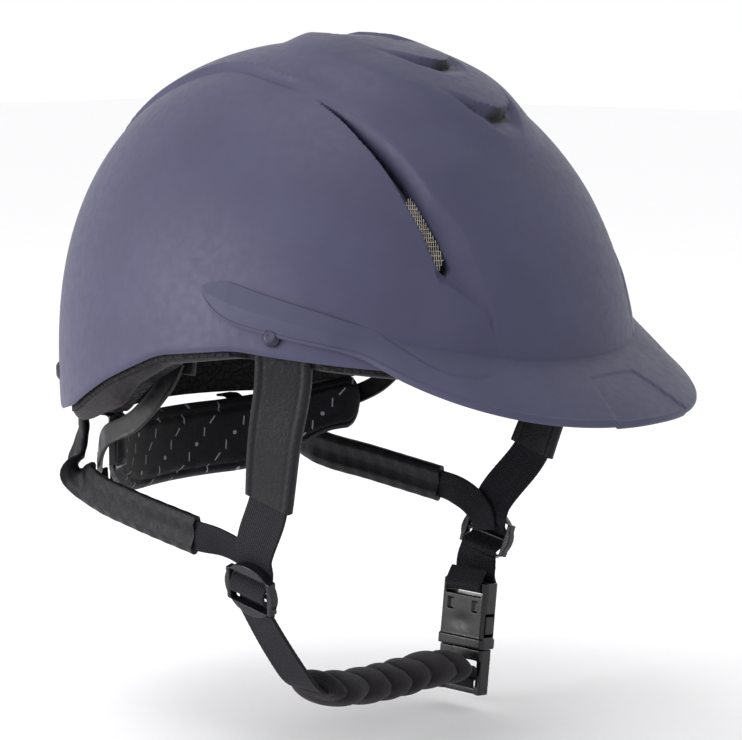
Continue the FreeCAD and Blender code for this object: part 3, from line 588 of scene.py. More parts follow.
def slot_half_width(y):
    return line(SLOT, y, 1.0)


def gap_depth(x, y, z):
    """Extra depth of the open gap beside the panel's edge."""
    slot = slot_half_width(y)
    shut = slot - line(GAP_WIDTH, y, 1.0)
    return line(GAP_DEPTH, y, 1.0) * ramp(x - shut, -0.1, 0.7) * (x <= slot + 0.05) * (z > PANEL_Z)


def painted_opening_shade(points):
    """Painted shade of the unlit openings: 0 on the shell's skin, up to 1 inside a gap as it deepens, or in
    a mouth.
    """
    x, y, z = folded(points)
    shade = ramp(gap_depth(x, y, z), 0.3, 2.2)
    for _, lip, *_ in VENTS:
        mouth = ramp(7.2 - x, 0, 1.2) * ramp(y, lip - 2.6, lip - 1.6) * ramp(-y, -lip - 2.0, -lip - 0.6)
        shade = np.maximum(shade, mouth * (z > 60))
    return shade


def tongue(x, y, start, lip, tip, width, rise, sink):
    """Raised tongue with a mouth at its lip, in a floor that runs out at its tip."""
    run = ramp(-y, -start, -lip)
    inner = width * (1 - 0.62 * np.clip((y - start) / (lip - start), 0, 1) ** 1.5)
    inner = inner * np.sqrt(np.clip((y - lip) / 5.0, 0, 1))
    outer = width * (1.02 - 0.35 * np.clip((y - start) / (lip - start), 0, 1))
    outer = outer * np.sqrt(np.clip((y - tip) / (lip - tip) * 0.75, 0, 1))
    inside = ramp(inner - x, -1.0, 1.0) * ramp(y, lip - 0.8, lip + 0.8)
    floor = ramp(outer - x, -1.2, 2.0) * (y < start)
    back = np.where(y < lip, ramp(y, tip, lip), 1.0)
    return inside * rise * run - (1 - inside) * floor * sink * run * back


def sculpt(points):
    """Height of the shell's relief over the bare dome."""
    x, y, z = folded(points)
    edge = line(BAND_EDGE, y, 6.0)
    reach = ramp(y, -34, -8) * ramp(-y, -122, -92)
    height = 2.1 * reach * ramp(edge - x, -1.0, 1.0) * (z > BAND_Z)
    height = height - 0.8 * bell(x, edge + 2.4, 1.0) * ramp(y, -28, -8) * ramp(-y, -110, -85) * (z > BAND_Z)
    spine = np.sqrt((x / 43) ** 2 + ((y + 25) / np.where(y > -25, 51, 75)) ** 2)
    height = height + 3.9 * ramp(-spine, -1.04, -0.7)
    channel = ramp(13.5 - x, -0.7, 0.7) * ramp(y, -25, -23) * ramp(-y, -60, -20)
    height = height - 1.9 * channel
    for vent in VENTS:
        height = height + tongue(x, y, *vent)
    slot, crease = slot_half_width(y), line(CREASE, y, 1.0)
    depth = line(SLOT_DEPTH, y, 2.0) * (z > PANEL_Z)
    shut = slot - line(GAP_WIDTH, y, 1.0)
    facet = np.clip((x - crease) / np.maximum(shut - crease, 0.2), 0, 1)
    height = height - gap_depth(x, y, z)
    wall = np.clip(1 - (x - slot - 0.05) / np.maximum(line(FLOOR_EDGE, y, 1.0) - slot, 0.3), 0, 1)
    height = height - depth * np.where(x <= slot + 0.05, facet, wall)
    panel = np.clip(1 - (x - slot) / np.maximum(line(PANEL_CREASE, y, 2.0) - slot, 2), 0, 1)
    height = height - 0.9 * panel * (x > slot + 0.3) * ramp(-y, 60, 95) * ramp(y, -104, -99) * (z > PANEL_Z)
    seam = ramp(-y, 106, 112) * (z < 46) * bell(x, 45.2, 0.8)
    return height - 0.45 * seam


def outer_rows(rows, columns):
    """Azimuths and elevations of the shell's grid, with points moved onto the slot's edge and past it."""
    past = 0.4                 # how far beyond the slot's edge the next point lies
    turn = np.linspace(-math.pi, math.pi, 4001)
    dense = np.cumsum(1 + 1.7 * bell(np.abs(turn), math.radians(38), math.radians(20)))
    azimuth = np.interp(np.linspace(dense[0], dense[-1], columns + 1)[:-1], dense, turn)
    low = elevation_at(azimuth, RIM)
    share = np.linspace(0, 0.994, rows)[:, None]
    elevation = low + (math.pi / 2 - low) * share
    azimuth = np.repeat(azimuth[None], rows, 0)
    points = dome(azimuth, elevation)
    for r in range(rows):
        x, y, z = points[r].T
        plain = azimuth[r].copy()
        gap = np.abs(x) - slot_half_width(y)
        near = (y > -114) & (y < -27) & (z > 26)
        for c in range(columns - 1):
            if near[c] and near[c + 1] and gap[c] * gap[c + 1] < 0 and x[c] * x[c + 1] > 0:
                turn_per_gap = (plain[c + 1] - plain[c]) / (gap[c + 1] - gap[c])
                edge = plain[c] - gap[c] * turn_per_gap
                chosen = c if abs(gap[c]) < abs(gap[c + 1]) else c + 1
                azimuth[r, chosen] = edge
                azimuth[r, chosen + (1 if gap[c + 1] > 0 else -1)] = edge + past * turn_per_gap
    return azimuth, elevation


def add_shell():
    """Hard outer shell: sculpted outside, plain inside, joined round its lower edge."""
    rows, columns, inner_rows = 158, 480, 20
    azimuth, elevation = outer_rows(rows, columns)
    base = dome(azimuth, elevation)
    normal = dome_normal(base)
    outer = base + normal * sculpt(base)[..., None]
    lip_ring = base[0] - normal[0] * SHELL_WALL / 2 - vec(0, 0, 0.8)
    outer[0] -= normal[0] * 0.35
    low, share = elevation[0], np.linspace(0, 0.99, inner_rows)[:, None]
    inner_base = dome(np.repeat(azimuth[:1], inner_rows, 0), low + (math.pi / 2 - low) * share)
    x, y, z = folded(inner_base)
    sunk = 7.5 * bell(x, 54, 12) * ramp(-y, 15, 55) * ramp(y, -125, -108) * (z > 30)
    sunk = sunk + 4.0 * (x < 22) * ramp(-y, 15, 50) * (y > -95)
    inner = inner_base - dome_normal(inner_base) * (SHELL_WALL + sunk)[..., None]
    points, faces = bowl(np.concatenate([outer[::-1], lip_ring[None], inner]), outer[-1, :, 2].mean(),
                         DOME_HEIGHT - SHELL_WALL)
    # painted shade of the gaps and vent mouths, kept on the outer points for the shell's paint
    shade = np.zeros(len(points), np.float32)
    shade[1:1 + rows * columns] = painted_opening_shade(base)[::-1].ravel()
    piece = add_piece("shell_skin", points, faces, SHELL_PAINT, angle=32)
    piece.data.attributes.new("painted_shade", "FLOAT", "POINT").data.foreach_set("value", shade)
    stand_for(piece, "outer_shell")


# ---------------------------------------------------------------- peak

# Upper and lower edges of the side arms where they meet the dome, as (y, z)
ARM_TOP = ((-170, 17), (-132, 16.5), (-125, 18), (-116, 21), (-107, 23), (-95, 26), (-85, 31), (-65, 37),
           (-45, 42), (-25, 47), (0, 50))
ARM_LOW = ((-170, 10.5), (-125, 10.5), (-112, 11), (-94, 17), (-71, 23.5), (-47, 27.5), (-32, 30), (-21, 34),
           (-10, 40))
ARM_END = math.radians(83)     # azimuth of the arm's rounded rear end
ARM_NOSE = math.radians(9)
ARM_PROUD = 3.6
RIDGE_SHARE = 0.42             # where the arm's ridge lies between its root and its lower edge
BRIM_HALF_WIDTH = 87.0
BRIM_CENTRE = 52.0
BRIM_POWER = 2.17
BRIM_ROOT = 13.5
BRIM_SLOPE = math.tan(math.radians(27.8))
BRIM_SIDE_RADIUS = 220.0
BRIM_WALL = 3.2
# Decorative groove on the brim: share of the way from the shell to the edge, by azimuth in degrees
BRIM_GROOVE = ((23, 0.36), (26, 0.5), (30, 0.57), (34, 0.47), (38, 0.2), (42, 0.0))


def brim_edge(azimuth):
    """Outer edge of the brim in a direction from the helmet's middle."""
    c, s = np.cos(azimuth), np.abs(np.sin(azimuth))
    near, far = np.full_like(azimuth, 40.0), np.full_like(azimuth, 200.0)
    for _ in range(40):
        r = (near + far) / 2
        share = (np.maximum(r * c - BRIM_CENTRE, 0) / (PEAK_REACH - BRIM_CENTRE)) ** BRIM_POWER
        outside = share + (r * s / BRIM_HALF_WIDTH) ** BRIM_POWER > 1
        far, near = np.where(outside, r, far), np.where(outside, near, r)
    x, y = np.sin(azimuth) * r, -c * r
    z = BRIM_ROOT + (y + FRONT_LENGTH) * BRIM_SLOPE - x ** 2 / (2 * BRIM_SIDE_RADIUS)
    return np.stack([x, y, z], -1)


def between(a, b, t):
    """Point at share t from a to b, for arrays of points and shares."""
    t = np.asarray(t)[..., None]
    return a * (1 - t) + b * t


def peak_rings(stations, top_points, under_points):
    """Sections of the peak from the tip of one arm, round the brim, to the tip of the other."""
    azimuth = np.linspace(-ARM_END, ARM_END, stations)
    side = np.abs(azimuth)
    upper, lower = elevation_at(azimuth, ARM_TOP, 2.0), elevation_at(azimuth, ARM_LOW, 2.0)
    middle, half = (upper + lower) / 2, (upper - lower) / 2
    nose = rounding((side - ARM_END + ARM_NOSE) / ARM_NOSE, 0.0004)
    upper, lower = middle + half * nose, middle - half * nose
    root, foot, crest = dome(azimuth, upper), dome(azimuth, lower), dome(azimuth, middle - 0.05 * half)
    normal = dome_normal(crest)
    brim = ramp(-side, -math.radians(52), -math.radians(38))
    proud = ARM_PROUD * nose
    arm_edge = dome(azimuth, lower + 0.12 * half) + normal * (0.55 * proud)[:, None]
    edge = between(arm_edge, brim_edge(azimuth), brim)
    ridge = between(crest + normal * proud[:, None], between(root, edge, RIDGE_SHARE) + vec(0, 0, 0.9), brim)
    lift = normal * (nose * (1 - brim) + 0.1)[:, None]
    top = []
    for t in np.linspace(0, 1, top_points):
        if t < RIDGE_SHARE:
            straight = between(root + lift, ridge, t / RIDGE_SHARE)
        else:
            straight = between(ridge, edge, (t - RIDGE_SHARE) / (1 - RIDGE_SHARE))
        top.append(between(straight, between(root, edge, t) + vec(0, 0, 3.4 * t * (1 - t)), brim))
    top = carve_brim(np.array(top), side, brim)
    level_back = np.stack([0 * side, -40 + 0 * side, foot[:, 2]], -1)
    turn_in = unit(between(foot, level_back, brim) - edge)
    wall = (BRIM_WALL * brim + 0.4 * proud * (1 - brim))[:, None]
    around = [top[-1] - vec(0, 0, 1) * wall * (1 - np.cos(angle)) / 2 - turn_in * wall * 0.35 * np.sin(angle)
              for angle in np.radians((30, 70, 110, 150, 180))]
    under = [between(around[-1], foot, t) + vec(0, 0, 1.6) * (t * (1 - t)) * brim[:, None]
             for t in np.linspace(0, 1, under_points)[1:]]
    inside = [foot - dome_normal(foot) * 1.4, root - dome_normal(root) * 1.4, root]
    return np.array(list(top) + around + under + inside).transpose(1, 0, 2)


def carve_brim(top, side, brim):
    """Sinks the front panel and the side grooves into the brim's upper face."""
    x, y, _ = folded(top)
    panel = ramp(14.5 + 0.42 * (-y - 141) - x, -0.45, 0.45) * ramp(-y - 141, -0.45, 0.45)
    share = np.linspace(0, 1, len(top))[:, None]
    groove_at = line(BRIM_GROOVE, np.degrees(side), 0.8)[None]
    length = np.linalg.norm(top[-1] - top[0], axis=-1)[None]
    groove = bell((share - groove_at) * length, 0, 0.8) * ramp(np.degrees(side), 21.5, 25) \
        * ramp(-np.degrees(side), -43, -40)
    sink = 0.75 * panel + 0.6 * groove * brim
    return top - vec(0, -0.3, 0.95) * sink[..., None]


def add_peak():
    """Brim and both side arms, one moulding that wraps the dome."""
    rings = peak_rings(381, 46, 14)
    piece = add_piece("peak_moulding", rings, tube_faces(*rings.shape[:2]), PEAK_PAINT, angle=24)
    stand_for(piece, "peak")


# ---------------------------------------------------------------- liner, trim and vents

HEAD = (84.0, 106.0, 116.0, 120.0)    # half width, front, rear and height of the head cavity
STRAP_SPOTS = ((-48.0, 17.0), (107.0, 13.0))


def egg(azimuth, elevation, sizes):
    """Plain ellipsoid with different front and rear lengths."""
    half_width, front, rear, height = sizes
    c, s = np.cos(azimuth), np.sin(azimuth)
    length = np.where(c > 0, front, rear)
    radius = ((c / length) ** 2 + (s / half_width) ** 2) ** -0.5
    return np.stack([s * radius * np.cos(elevation), -c * radius * np.cos(elevation),
                     height * np.sin(elevation) * np.ones_like(s)], -1)


def egg_elevation(z, sizes):
    return np.arcsin(np.clip(z / sizes[3], -0.99, 0.99))


def add_liner():
    """Bead-foam impact liner, with air channels moulded into its inner face."""
    columns, rows = 220, 34
    azimuth = turns(columns)
    rim = [(y, z - 3.0) for y, z in RIM]
    low = elevation_at(azimuth, rim)
    shares = np.linspace(0, 0.99, rows)
    rings = []
    for share in shares[::-1]:
        base = dome(azimuth, low + (math.pi / 2 - low) * share)
        x, y, z = folded(base)
        sunk = 8.5 * bell(x, 54, 13) * ramp(-y, 10, 50) * ramp(y, -128, -108) * (z > 30)
        sunk = sunk + 5 * (x < 24) * ramp(-y, 10, 45)
        rings.append(base - dome_normal(base) * (SHELL_WALL + 0.5 + sunk + pocket_depth(base))[:, None])
    bottom = egg_elevation(line(rim, rings[-1][:, 1]), HEAD)
    for share in shares:
        base = egg(azimuth, bottom + (math.pi / 2 - bottom) * share, HEAD)
        x, y, z = folded(base)
        channel = 4.0 * bell(x, 31, 5) * ramp(z, 52, 66) + 3.0 * bell(y, -38, 6) * ramp(z, 70, 84)
        rings.append(base + unit(base) * channel[:, None])
    rings = np.array(rings)
    points, faces = bowl(rings, rings[0, :, 2].mean(), rings[-1, :, 2].mean())
    stand_for(add_piece("liner_foam", points, faces, FOAM), "eps_liner")


def pocket_depth(points):
    """How far the liner and trim stand back to let the four straps through."""
    depth = np.zeros(len(points))
    for y, half in STRAP_SPOTS:
        depth = depth + 6.4 * ramp(half + 3 - np.abs(points[:, 1] - y), 0, 5) * (np.abs(points[:, 0]) > 20)
    return depth * ramp(-points[:, 2], -44, -34)


def add_trim():
    """Brushed cloth trim that wraps the liner's lower edge."""
    columns = 420
    azimuth = turns(columns)
    rim = dome(azimuth, elevation_at(azimuth, RIM))
    level = unit(dome_normal(rim) * vec(1, 1, 0))
    drop = np.maximum(rim[:, 2] - line(TRIM_EDGE, rim[:, 1], 3.0), 2.0)
    back = pocket_depth(rim)
    # Section from the shell inwards: inset, rise over the rim, share of the drop to the trim's edge
    section = ((2.7, 2.5, 0), (2.75, 0.5, 0), (3.0, 0, 0.25), (3.9, 0, 0.55), (5.4, 0, 0.82),
               (7.2, 0, 0.97), (9.0, 0, 1.0), (10.6, 0, 0.93), (11.8, 0, 0.75), (12.4, 0, 0.45),
               (12.8, 1.5, 0), (12.6, 5, 0))
    widest = 9.6               # points nearer than this step back for the straps
    rings = []
    for inset, rise, share in section:
        depth = inset + 0 * back
        if inset < widest:
            depth = np.maximum(inset, np.minimum(back + 1.2 + 0.22 * inset, widest))
        rings.append(rim - level * depth[:, None] + vec(0, 0, 1) * (rise - drop * share)[:, None])
    rings = np.array(rings).transpose(1, 0, 2)
    count = columns * len(section)
    faces = [tuple(i % count for i in face) for face in grid_faces(columns + 1, len(section))]
    piece = add_piece("trim_cloth", rings, faces, TRIM_CLOTH, angle=60)
    subdivide(piece, 1)
    stand_for(piece, "edge_trim")


def subdivide(piece, levels):
    modifier = piece.modifiers.new("smooth", "SUBSURF")
    modifier.levels = modifier.render_levels = levels
    apply_modifiers(piece)


def dome_at(x, y):
    """Point of the bare dome above a place in plan."""
    length = np.where(y < 0, FRONT_LENGTH, REAR_LENGTH)
    flat = np.hypot(x, y)
    power = side_power(-y / flat)
    level = (np.abs(x) / HALF_WIDTH) ** PLAN_POWER + (np.abs(y) / length) ** PLAN_POWER
    z = DOME_HEIGHT * np.clip(1 - level ** (power / PLAN_POWER), 0, 1) ** (1 / power)
    return np.stack([x, y, z], -1)


def tube(path, radius, sides=6):
    """Points and faces of a round wire along a path."""
    path = np.asarray(path, float)
    tangent = unit(np.gradient(path, axis=0))
    guide = vec(0, 0, 1) if abs(tangent[0, 2]) < 0.8 else vec(1, 0, 0)
    first = unit(np.cross(tangent, guide))
    second = np.cross(tangent, first)
    turn = turns(sides, 0)
    ring = first[:, None] * np.cos(turn)[None, :, None] + second[:, None] * np.sin(turn)[None, :, None]
    return (path[:, None] + radius * ring).reshape(-1, 3), tube_faces(len(path), sides)


def join(parts):
    """One list of points and faces from several."""
    points, faces, count = [], [], 0
    for part_points, part_faces in parts:
        points.append(part_points)
        faces += [tuple(i + count for i in face) for face in part_faces]
        count += len(part_points)
    return np.vstack(points), faces


def add_vent_mesh(side, node):
    """Woven wire mesh seen in the deep end of a side vent."""
    low_y, high_y, reach, pitch, depth = -100.2, -82.0, 4.8, 1.2, 5.0
    wires = []
    for slant in (-1, 1):
        start = low_y - reach
        while start < high_y + reach:
            v = np.linspace(0, reach, 17)
            u = start + (v if slant > 0 else reach - v)
            keep = (u >= low_y) & (u <= high_y) & (v <= line(GAP_WIDTH, u, 1.0) + 1.2)
            if keep.sum() > 3:
                u, v = u[keep], v[keep]
                base = dome_at(slot_half_width(u) + 1.2 - v, u)
                weave = 0.22 * np.cos(v * FULL_TURN / pitch) * slant
                path = base - dome_normal(base) * (depth + weave)[:, None]
                wires.append(tube(path * vec(side, 1, 1), 0.18))
            start += pitch
    stand_for(add_piece(node + "_wires", *join(wires), WIRE, angle=80), node)


# ---------------------------------------------------------------- soft lining

def add_cushion(name, node, body, along, half_ring, section):
    """Printed pad; section(share, raised) gives a line of points and their heights on either face."""
    steps = np.linspace(0, 1, half_ring)
    rings, cloth = [], []
    for share, raised in [(t, False) for t in steps] + [(1 - t, True) for t in steps[1:-1]]:
        points, height = section(share, raised)
        rings.append(points)
        cloth.append(np.stack([along, height, 0 * height], -1))
    rings, cloth = (np.array(part).transpose(1, 0, 2) for part in (rings, cloth))
    piece = add_piece(name, rings, tube_faces(*rings.shape[:2]), PRINTED, body, 70, cloth)
    stand_for(piece, node)


def add_headband():
    """Printed comfort band round the brow, softly quilted."""
    limit = math.radians(98)
    azimuth = np.linspace(-limit, limit, 260)
    sizes = tuple(v - 1.4 for v in HEAD)
    low = line([(y, z - 1.0) for y, z in RIM], egg(azimuth, 0.15, sizes)[:, 1]) + 0.5
    high = limits("comfort_headband")[1][2] - 1
    end = rounding((np.abs(azimuth) / limit - 0.94) / 0.06, 0.02)
    along = lengths(egg(azimuth, 0.2, sizes))
    seams = sum(bell(along - along[-1] / 2, offset, 1.5) for offset in (-105, -63, -21, 21, 63, 105))

    def section(share, raised):
        z = low + (high - low) * (0.5 + (share - 0.5) * end)
        thick = 4.4 * (1 - abs(2 * share - 1) ** 3) ** 0.5 * end * (1 - 0.4 * seams)
        base = egg(azimuth, egg_elevation(z, sizes), sizes)
        return base + unit(-base * vec(1, 1, 0.6)) * (thick * (1.0 if raised else 0.12) + 0.1)[:, None], z

    add_cushion("headband_cushion", "comfort_headband", "root", along, 13, section)


CRADLE_CENTRE = 10.0
CRADLE_FACE = 94.6
CRADLE_TOP = ((50, -12.5), (85, -23), (104, -27.2), (125, -27.2))
CRADLE_LOW = ((50, -40), (76, -45), (96, -62), (125, -63))


def add_cradle_pad():
    """Printed pad inside the fit cradle, crowned and bound along its edges."""
    limit = math.radians(56)
    angle = np.linspace(-limit, limit, 240)
    y_back = CRADLE_CENTRE + CRADLE_FACE * np.cos(angle)
    low, high = line(CRADLE_LOW, y_back, 4.0) + 0.3, line(CRADLE_TOP, y_back, 4.0) - 0.3
    end = rounding((np.abs(angle) / limit - 0.93) / 0.07, 0.02)
    along = angle * CRADLE_FACE
    puckers = 0.35 * np.sin(along / 5.2 + 0.8 * np.sin(along / 17)) + 0.2 * np.sin(along / 2.3)

    def section(share, raised):
        z = (low + high) / 2 + (high - low) * (share - 0.5) * end
        edge = min(share, 1 - share)
        crown = 4.6 * min(1, edge / 0.16) ** 0.5 - 1.5 * bell(edge, 0.13, 0.025)
        thick = (crown + puckers * bell(edge, 0.16, 0.08)) * end
        radius = CRADLE_FACE - (thick if raised else 0.15)
        return np.stack([radius * np.sin(angle), CRADLE_CENTRE + radius * np.cos(angle), z], -1), z

    add_cushion("cradle_cushion", "cradle_pad", "cradle", along, 25, section)


def add_crown_pad():
    piece = moulded("crown_pad", LINING, voxel=1.3, smooth=8, name="crown_cushion")
    set_weave(piece.data, places(piece.data) * vec(1, 1, 0))


# ---------------------------------------------------------------- straps

def side_frame(middle, across):
    """Directions across a path and out of it, at each of its points."""
    tangent = unit(np.gradient(middle, axis=0))
    across = unit(across - tangent * (tangent * across).sum(-1, keepdims=True))
    return across[:, None], np.cross(tangent, across)[:, None]


def strap(name, node, stations, width, wall, material=None, relief=None, step=0.6,
          across_points=21, mirror=False, body=None):
    """Flat strap through stations of (middle, width direction), with rounded edges.

    relief(along, across) adds to each face in millimetres."""
    rows = spline([np.concatenate([p, w]) for p, w in stations], step)
    middle = rows[:, :3]
    across, outward = side_frame(middle, rows[:, 3:])
    along = lengths(middle)[:, None]
    p = np.sin(np.linspace(-math.pi / 2, math.pi / 2, across_points)) * width / 2
    half = rounding((np.abs(p) - width / 2 + wall / 2) / (wall / 2)) * wall / 2
    face = half[None] + (relief(along, p[None]) if relief else 0 * (along + p[None]))
    p_ring = np.concatenate([p, p[-2:0:-1]])
    q_ring = np.concatenate([face, -face[:, -2:0:-1]], 1)
    points = middle[:, None] + across * p_ring[None, :, None] + outward * q_ring[..., None]
    cloth = np.stack(np.broadcast_arrays(along, p_ring[None], q_ring), -1)
    if mirror:
        points = points * vec(-1, 1, 1)
    piece = add_piece(name, points, tube_faces(len(rows), len(p_ring)), material or WEBBING, body, 45, cloth)
    return stand_for(piece, node)


SIDES = (("left", 1), ("right", -1))     # the left side is +X
UP, SIDEWAYS = vec(0, 0, 1), vec(0, 1, 0)


FRONT_ANCHOR = (-48.0, 26.5)
REAR_ANCHOR = (107.0, -4.0)
SLIDER = vec(77.5, -16, -83)
SLIDER_WALL = 4.0
BUCKLE_TOP = vec(63.0, -18.5, -102.0)
BUCKLE_TILT = math.radians(7)
WEB_WIDTH, WEB_WALL = 20.0, 1.3
GAP = 0.3
BEHIND = -(SLIDER_WALL / 2 + GAP + WEB_WALL / 2)     # webbing's middle behind the slider


def anchor(place, inset):
    """Point under a strap rivet, and the level directions out of the shell and along it."""
    y, z = place
    length = FRONT_LENGTH if y < 0 else REAR_LENGTH
    share = 1 - (y / (length - inset)) ** 2 - (z / (SHELL_HIGH[2] - inset)) ** 2
    x = (HALF_WIDTH - inset) * math.sqrt(share)
    level = unit(vec(x / HALF_WIDTH ** 2, y / length ** 2, 0))
    return vec(x, y, z), level, vec(-level[1], level[0], 0)


def slider_axes():
    along = unit(vec(-0.25, 0.18, -0.95))
    across = vec(0, 0.98, 0.19)
    across = unit(across - along * np.dot(along, across))
    return along, across, np.cross(along, across)


def slider_point(t, n, c=0.0):
    """Point beside the left slider: t down the strap, n out from the head, c across."""
    along, across, outward = slider_axes()
    return SLIDER + along * t + outward * n + across * c


def buckle_point(u, v=0.0, n=0.0):
    """Point beside the buckle: u down it, v across it, n through it."""
    along = vec(-math.sin(BUCKLE_TILT), 0, -math.cos(BUCKLE_TILT))
    return BUCKLE_TOP + along * u + SIDEWAYS * v + np.cross(along, SIDEWAYS) * n


def front_sleeve_path():
    point, level, side = anchor(FRONT_ANCHOR, 2.5)
    top = point - level * 4.0
    return [(top + vec(0, 0, 5), side), (top + vec(0, 0, -18), side), (vec(90.5, -42, -16), vec(0.15, 1, 0)),
            (vec(86, -34.5, -43), SIDEWAYS)]


def front_webbing_path():
    """From the sleeve, behind and over the slider's bars, to its lower side."""
    over = 2.05
    woven = [(-17.0, BEHIND), (-6.6, BEHIND), (-1.8, over), (1.8, over), (6.0, BEHIND), (8.4, BEHIND)]
    return front_sleeve_path()[1:] + [(slider_point(t, n), slider_axes()[1]) for t, n in woven]


def rear_sleeve_path():
    point, level, side = anchor(REAR_ANCHOR, 2.5)
    top = point - level * 3.9
    low = top - level * 2.6 - vec(0, 0, 25)
    return [(top + vec(0, 0, 6), side), (top + vec(0, 0, -9), side), (low, side),
            (vec(69, 100, -46), vec(-0.5, 0.7, 0.5)), (vec(73, 84, -54), vec(-0.1, 0.4, 0.9)),
            (vec(77, 55, -58.5), vec(0, 0.2, 1)), (vec(79.5, 14, -64), vec(0, 0.15, 1))]


def rear_webbing_path():
    along, across, _ = slider_axes()
    behind = BEHIND - GAP - WEB_WALL - 0.5
    return rear_sleeve_path()[-3:] + [(slider_point(-13.4, -3.8, 20), along * -1.0),
                                      (slider_point(-11.4, behind, 9.5), along * -0.85 - across * 0.5),
                                      (slider_point(-7.2, behind, 2.5), along * -0.45 - across * 0.9),
                                      (slider_point(-1.2, -3.0, 0), across * -1.0)]


def stitches(edge, along, place, pitch):
    """Raised stitches in a row."""
    return 0.22 * bell(edge, place, 0.4) * ramp(np.sin(along * FULL_TURN / pitch), -0.2, 0.5)


def folded_leather(along, across):
    """Turned-in edges with a row of stitches, and puckers near the rivet."""
    edge = np.abs(across)
    border = 12.25 - 3.4
    fold = 0.35 * ramp(edge, border - 0.3, border + 0.5) - 0.25 * bell(edge, border - 0.6, 0.5)
    pucker = 0.45 * np.sin(along * 1.1 + 0.9 * np.sin(across * 0.6)) * np.cos(across * 0.45 + along * 0.2)
    return fold + stitches(edge, along, border + 1.2, 3.2) + pucker * ramp(-along, -22, -3)


def beaded_leather(along, across):
    """Two raised ridges with a stitched valley between them."""
    edge = np.abs(across)
    ridges = 0.8 * bell(edge, 4.9, 1.7)
    ripple = 0.14 * np.sin(along * 0.7 + across * 0.3)
    return ridges - 0.45 * bell(edge, 0, 2.0) + stitches(edge, along, 1.6, 3.0) + ripple


def woven_edge(along, across):
    """Slightly thicker woven edges and faint cross ribs."""
    return 0.12 * bell(np.abs(across), 9.2, 0.7) + 0.05 * np.sin(along * FULL_TURN / 2.3)


def give_way(piece):
    """Bakes a soft piece's placing into its points."""
    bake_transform(piece)


def add_side_straps():
    """Leather sleeves and webbing on both sides."""
    for side, sign in SIDES:
        slider, mirror = "slider_" + side, sign < 0
        strap("front_sleeve_leather_" + side, "front_sleeve_" + side, front_sleeve_path(), 24.5, 3.4,
              LEATHER, folded_leather, 0.55, 41, mirror, "root")
        rear = [strap("rear_sleeve_leather_" + side, "rear_sleeve_" + side, rear_sleeve_path(), 17.0, 3.2,
                      LEATHER, beaded_leather, 0.7, 31, mirror),
                strap("rear_web_" + side, "rear_webbing_" + side, rear_webbing_path(), 13.0, WEB_WALL,
                      across_points=15, mirror=mirror)]
        for piece in rear:
            give_way(piece)
        front = strap("front_web_" + side, "front_webbing_" + side, front_webbing_path(), WEB_WIDTH,
                      WEB_WALL, relief=woven_edge, mirror=mirror)
        give_way(front)
        moulded(slider, SLIDER_PLASTIC, voxel=0.33, smooth=10)


def chin_strap_path():
    start = [(slider_point(t, BEHIND) * vec(-1, 1, 1), slider_axes()[1]) for t in (8.7, 13.0)]
    middle = [vec(-58, -20, -120), vec(-50, -21.5, -129), vec(-25, -22, -134), vec(2, -22, -136),
              vec(30, -22, -136.3), vec(49, -21.2, -138), vec(51.4, -20, -140), buckle_point(42, 0, -5.0),
              buckle_point(47.5, 0, -4.7)]
    return start + [(point, SIDEWAYS) for point in middle]


def follow_buckle(piece):
    """Bakes the placing of a chin strap piece by the buckle into its points."""
    give_way(piece)


def add_chin_strap():
    """Webbing from the right slider to the buckle, parted inside the pad, and a loop at the left slider."""
    def web(name, node, stations, step=0.6):
        return strap(name, node, stations, WEB_WIDTH, WEB_WALL, relief=woven_edge, step=step)

    path = chin_strap_path()
    inside_pad = [(vec(-38, -21.8, -131.6), SIDEWAYS)]
    upper = web("chin_web_upper", "chin_webbing", path[:4] + inside_pad)
    give_way(upper)
    follow_buckle(web("chin_web", "chin_webbing", inside_pad + path[4:]))
    loop = ((-1.5, 4.6), (2.2, 5.9), (4.7, 0), (2.2, -5.9), (-2.0, -4.2), (-5.5, -2.2))
    path = [(slider_point(t, BEHIND), slider_axes()[1]) for t in (8.7, 12.0)]
    path += [(buckle_point(u, 0, n), SIDEWAYS) for u, n in loop]
    short = web("buckle_web", "buckle_webbing", path, 0.5)
    give_way(short)


def add_chin_pad():
    """Padded chin sleeve, quilted in a spiral, flaring where it closes near the right-hand end."""
    path = [point for point, _ in chin_strap_path()[3:8]]
    path[0] = path[0] + unit(path[1] - path[0]) * 3
    path[-1] = path[-1] + unit(path[-2] - path[-1]) * 3
    middle = spline(path, 0.7)
    across, outward = side_frame(middle, SIDEWAYS)
    along = lengths(middle)[:, None]
    turn = turns(64, 0)
    uneven = 0.10 * np.sin(along / 9 + 1) + 0.05 * np.sin(3 * turn + along / 6)
    puff = np.abs(np.sin(math.pi * (along / 14.5 + turn / FULL_TURN + uneven))) ** 0.45
    end = rounding(1 - np.minimum(along, along[-1] - along) / 6, 0.12)
    wrinkle = 0.25 * np.sin(turn * 9 + along * 0.9) * (1 - puff)
    half_width = (11.6 + 3.0 * puff + wrinkle) * (0.55 + 0.45 * end) * (1 + 0.2 * bell(along, 9, 8))
    half_depth = (4.4 + 3.0 * puff + wrinkle) * end
    points = middle[:, None] + across * (np.cos(turn) * half_width)[..., None] \
        + outward * (np.sin(turn) * half_depth)[..., None]
    girth = 81.9
    cloth = np.stack(np.broadcast_arrays(along, turn / FULL_TURN * girth, 0.0), -1)
    piece = add_piece("chin_cushion", points, tube_faces(len(middle), len(turn)), PAD_CLOTH, None, 70, cloth)
    follow_buckle(piece)
    stand_for(piece, "chin_pad")


# ---------------------------------------------------------------- cradle and fit system

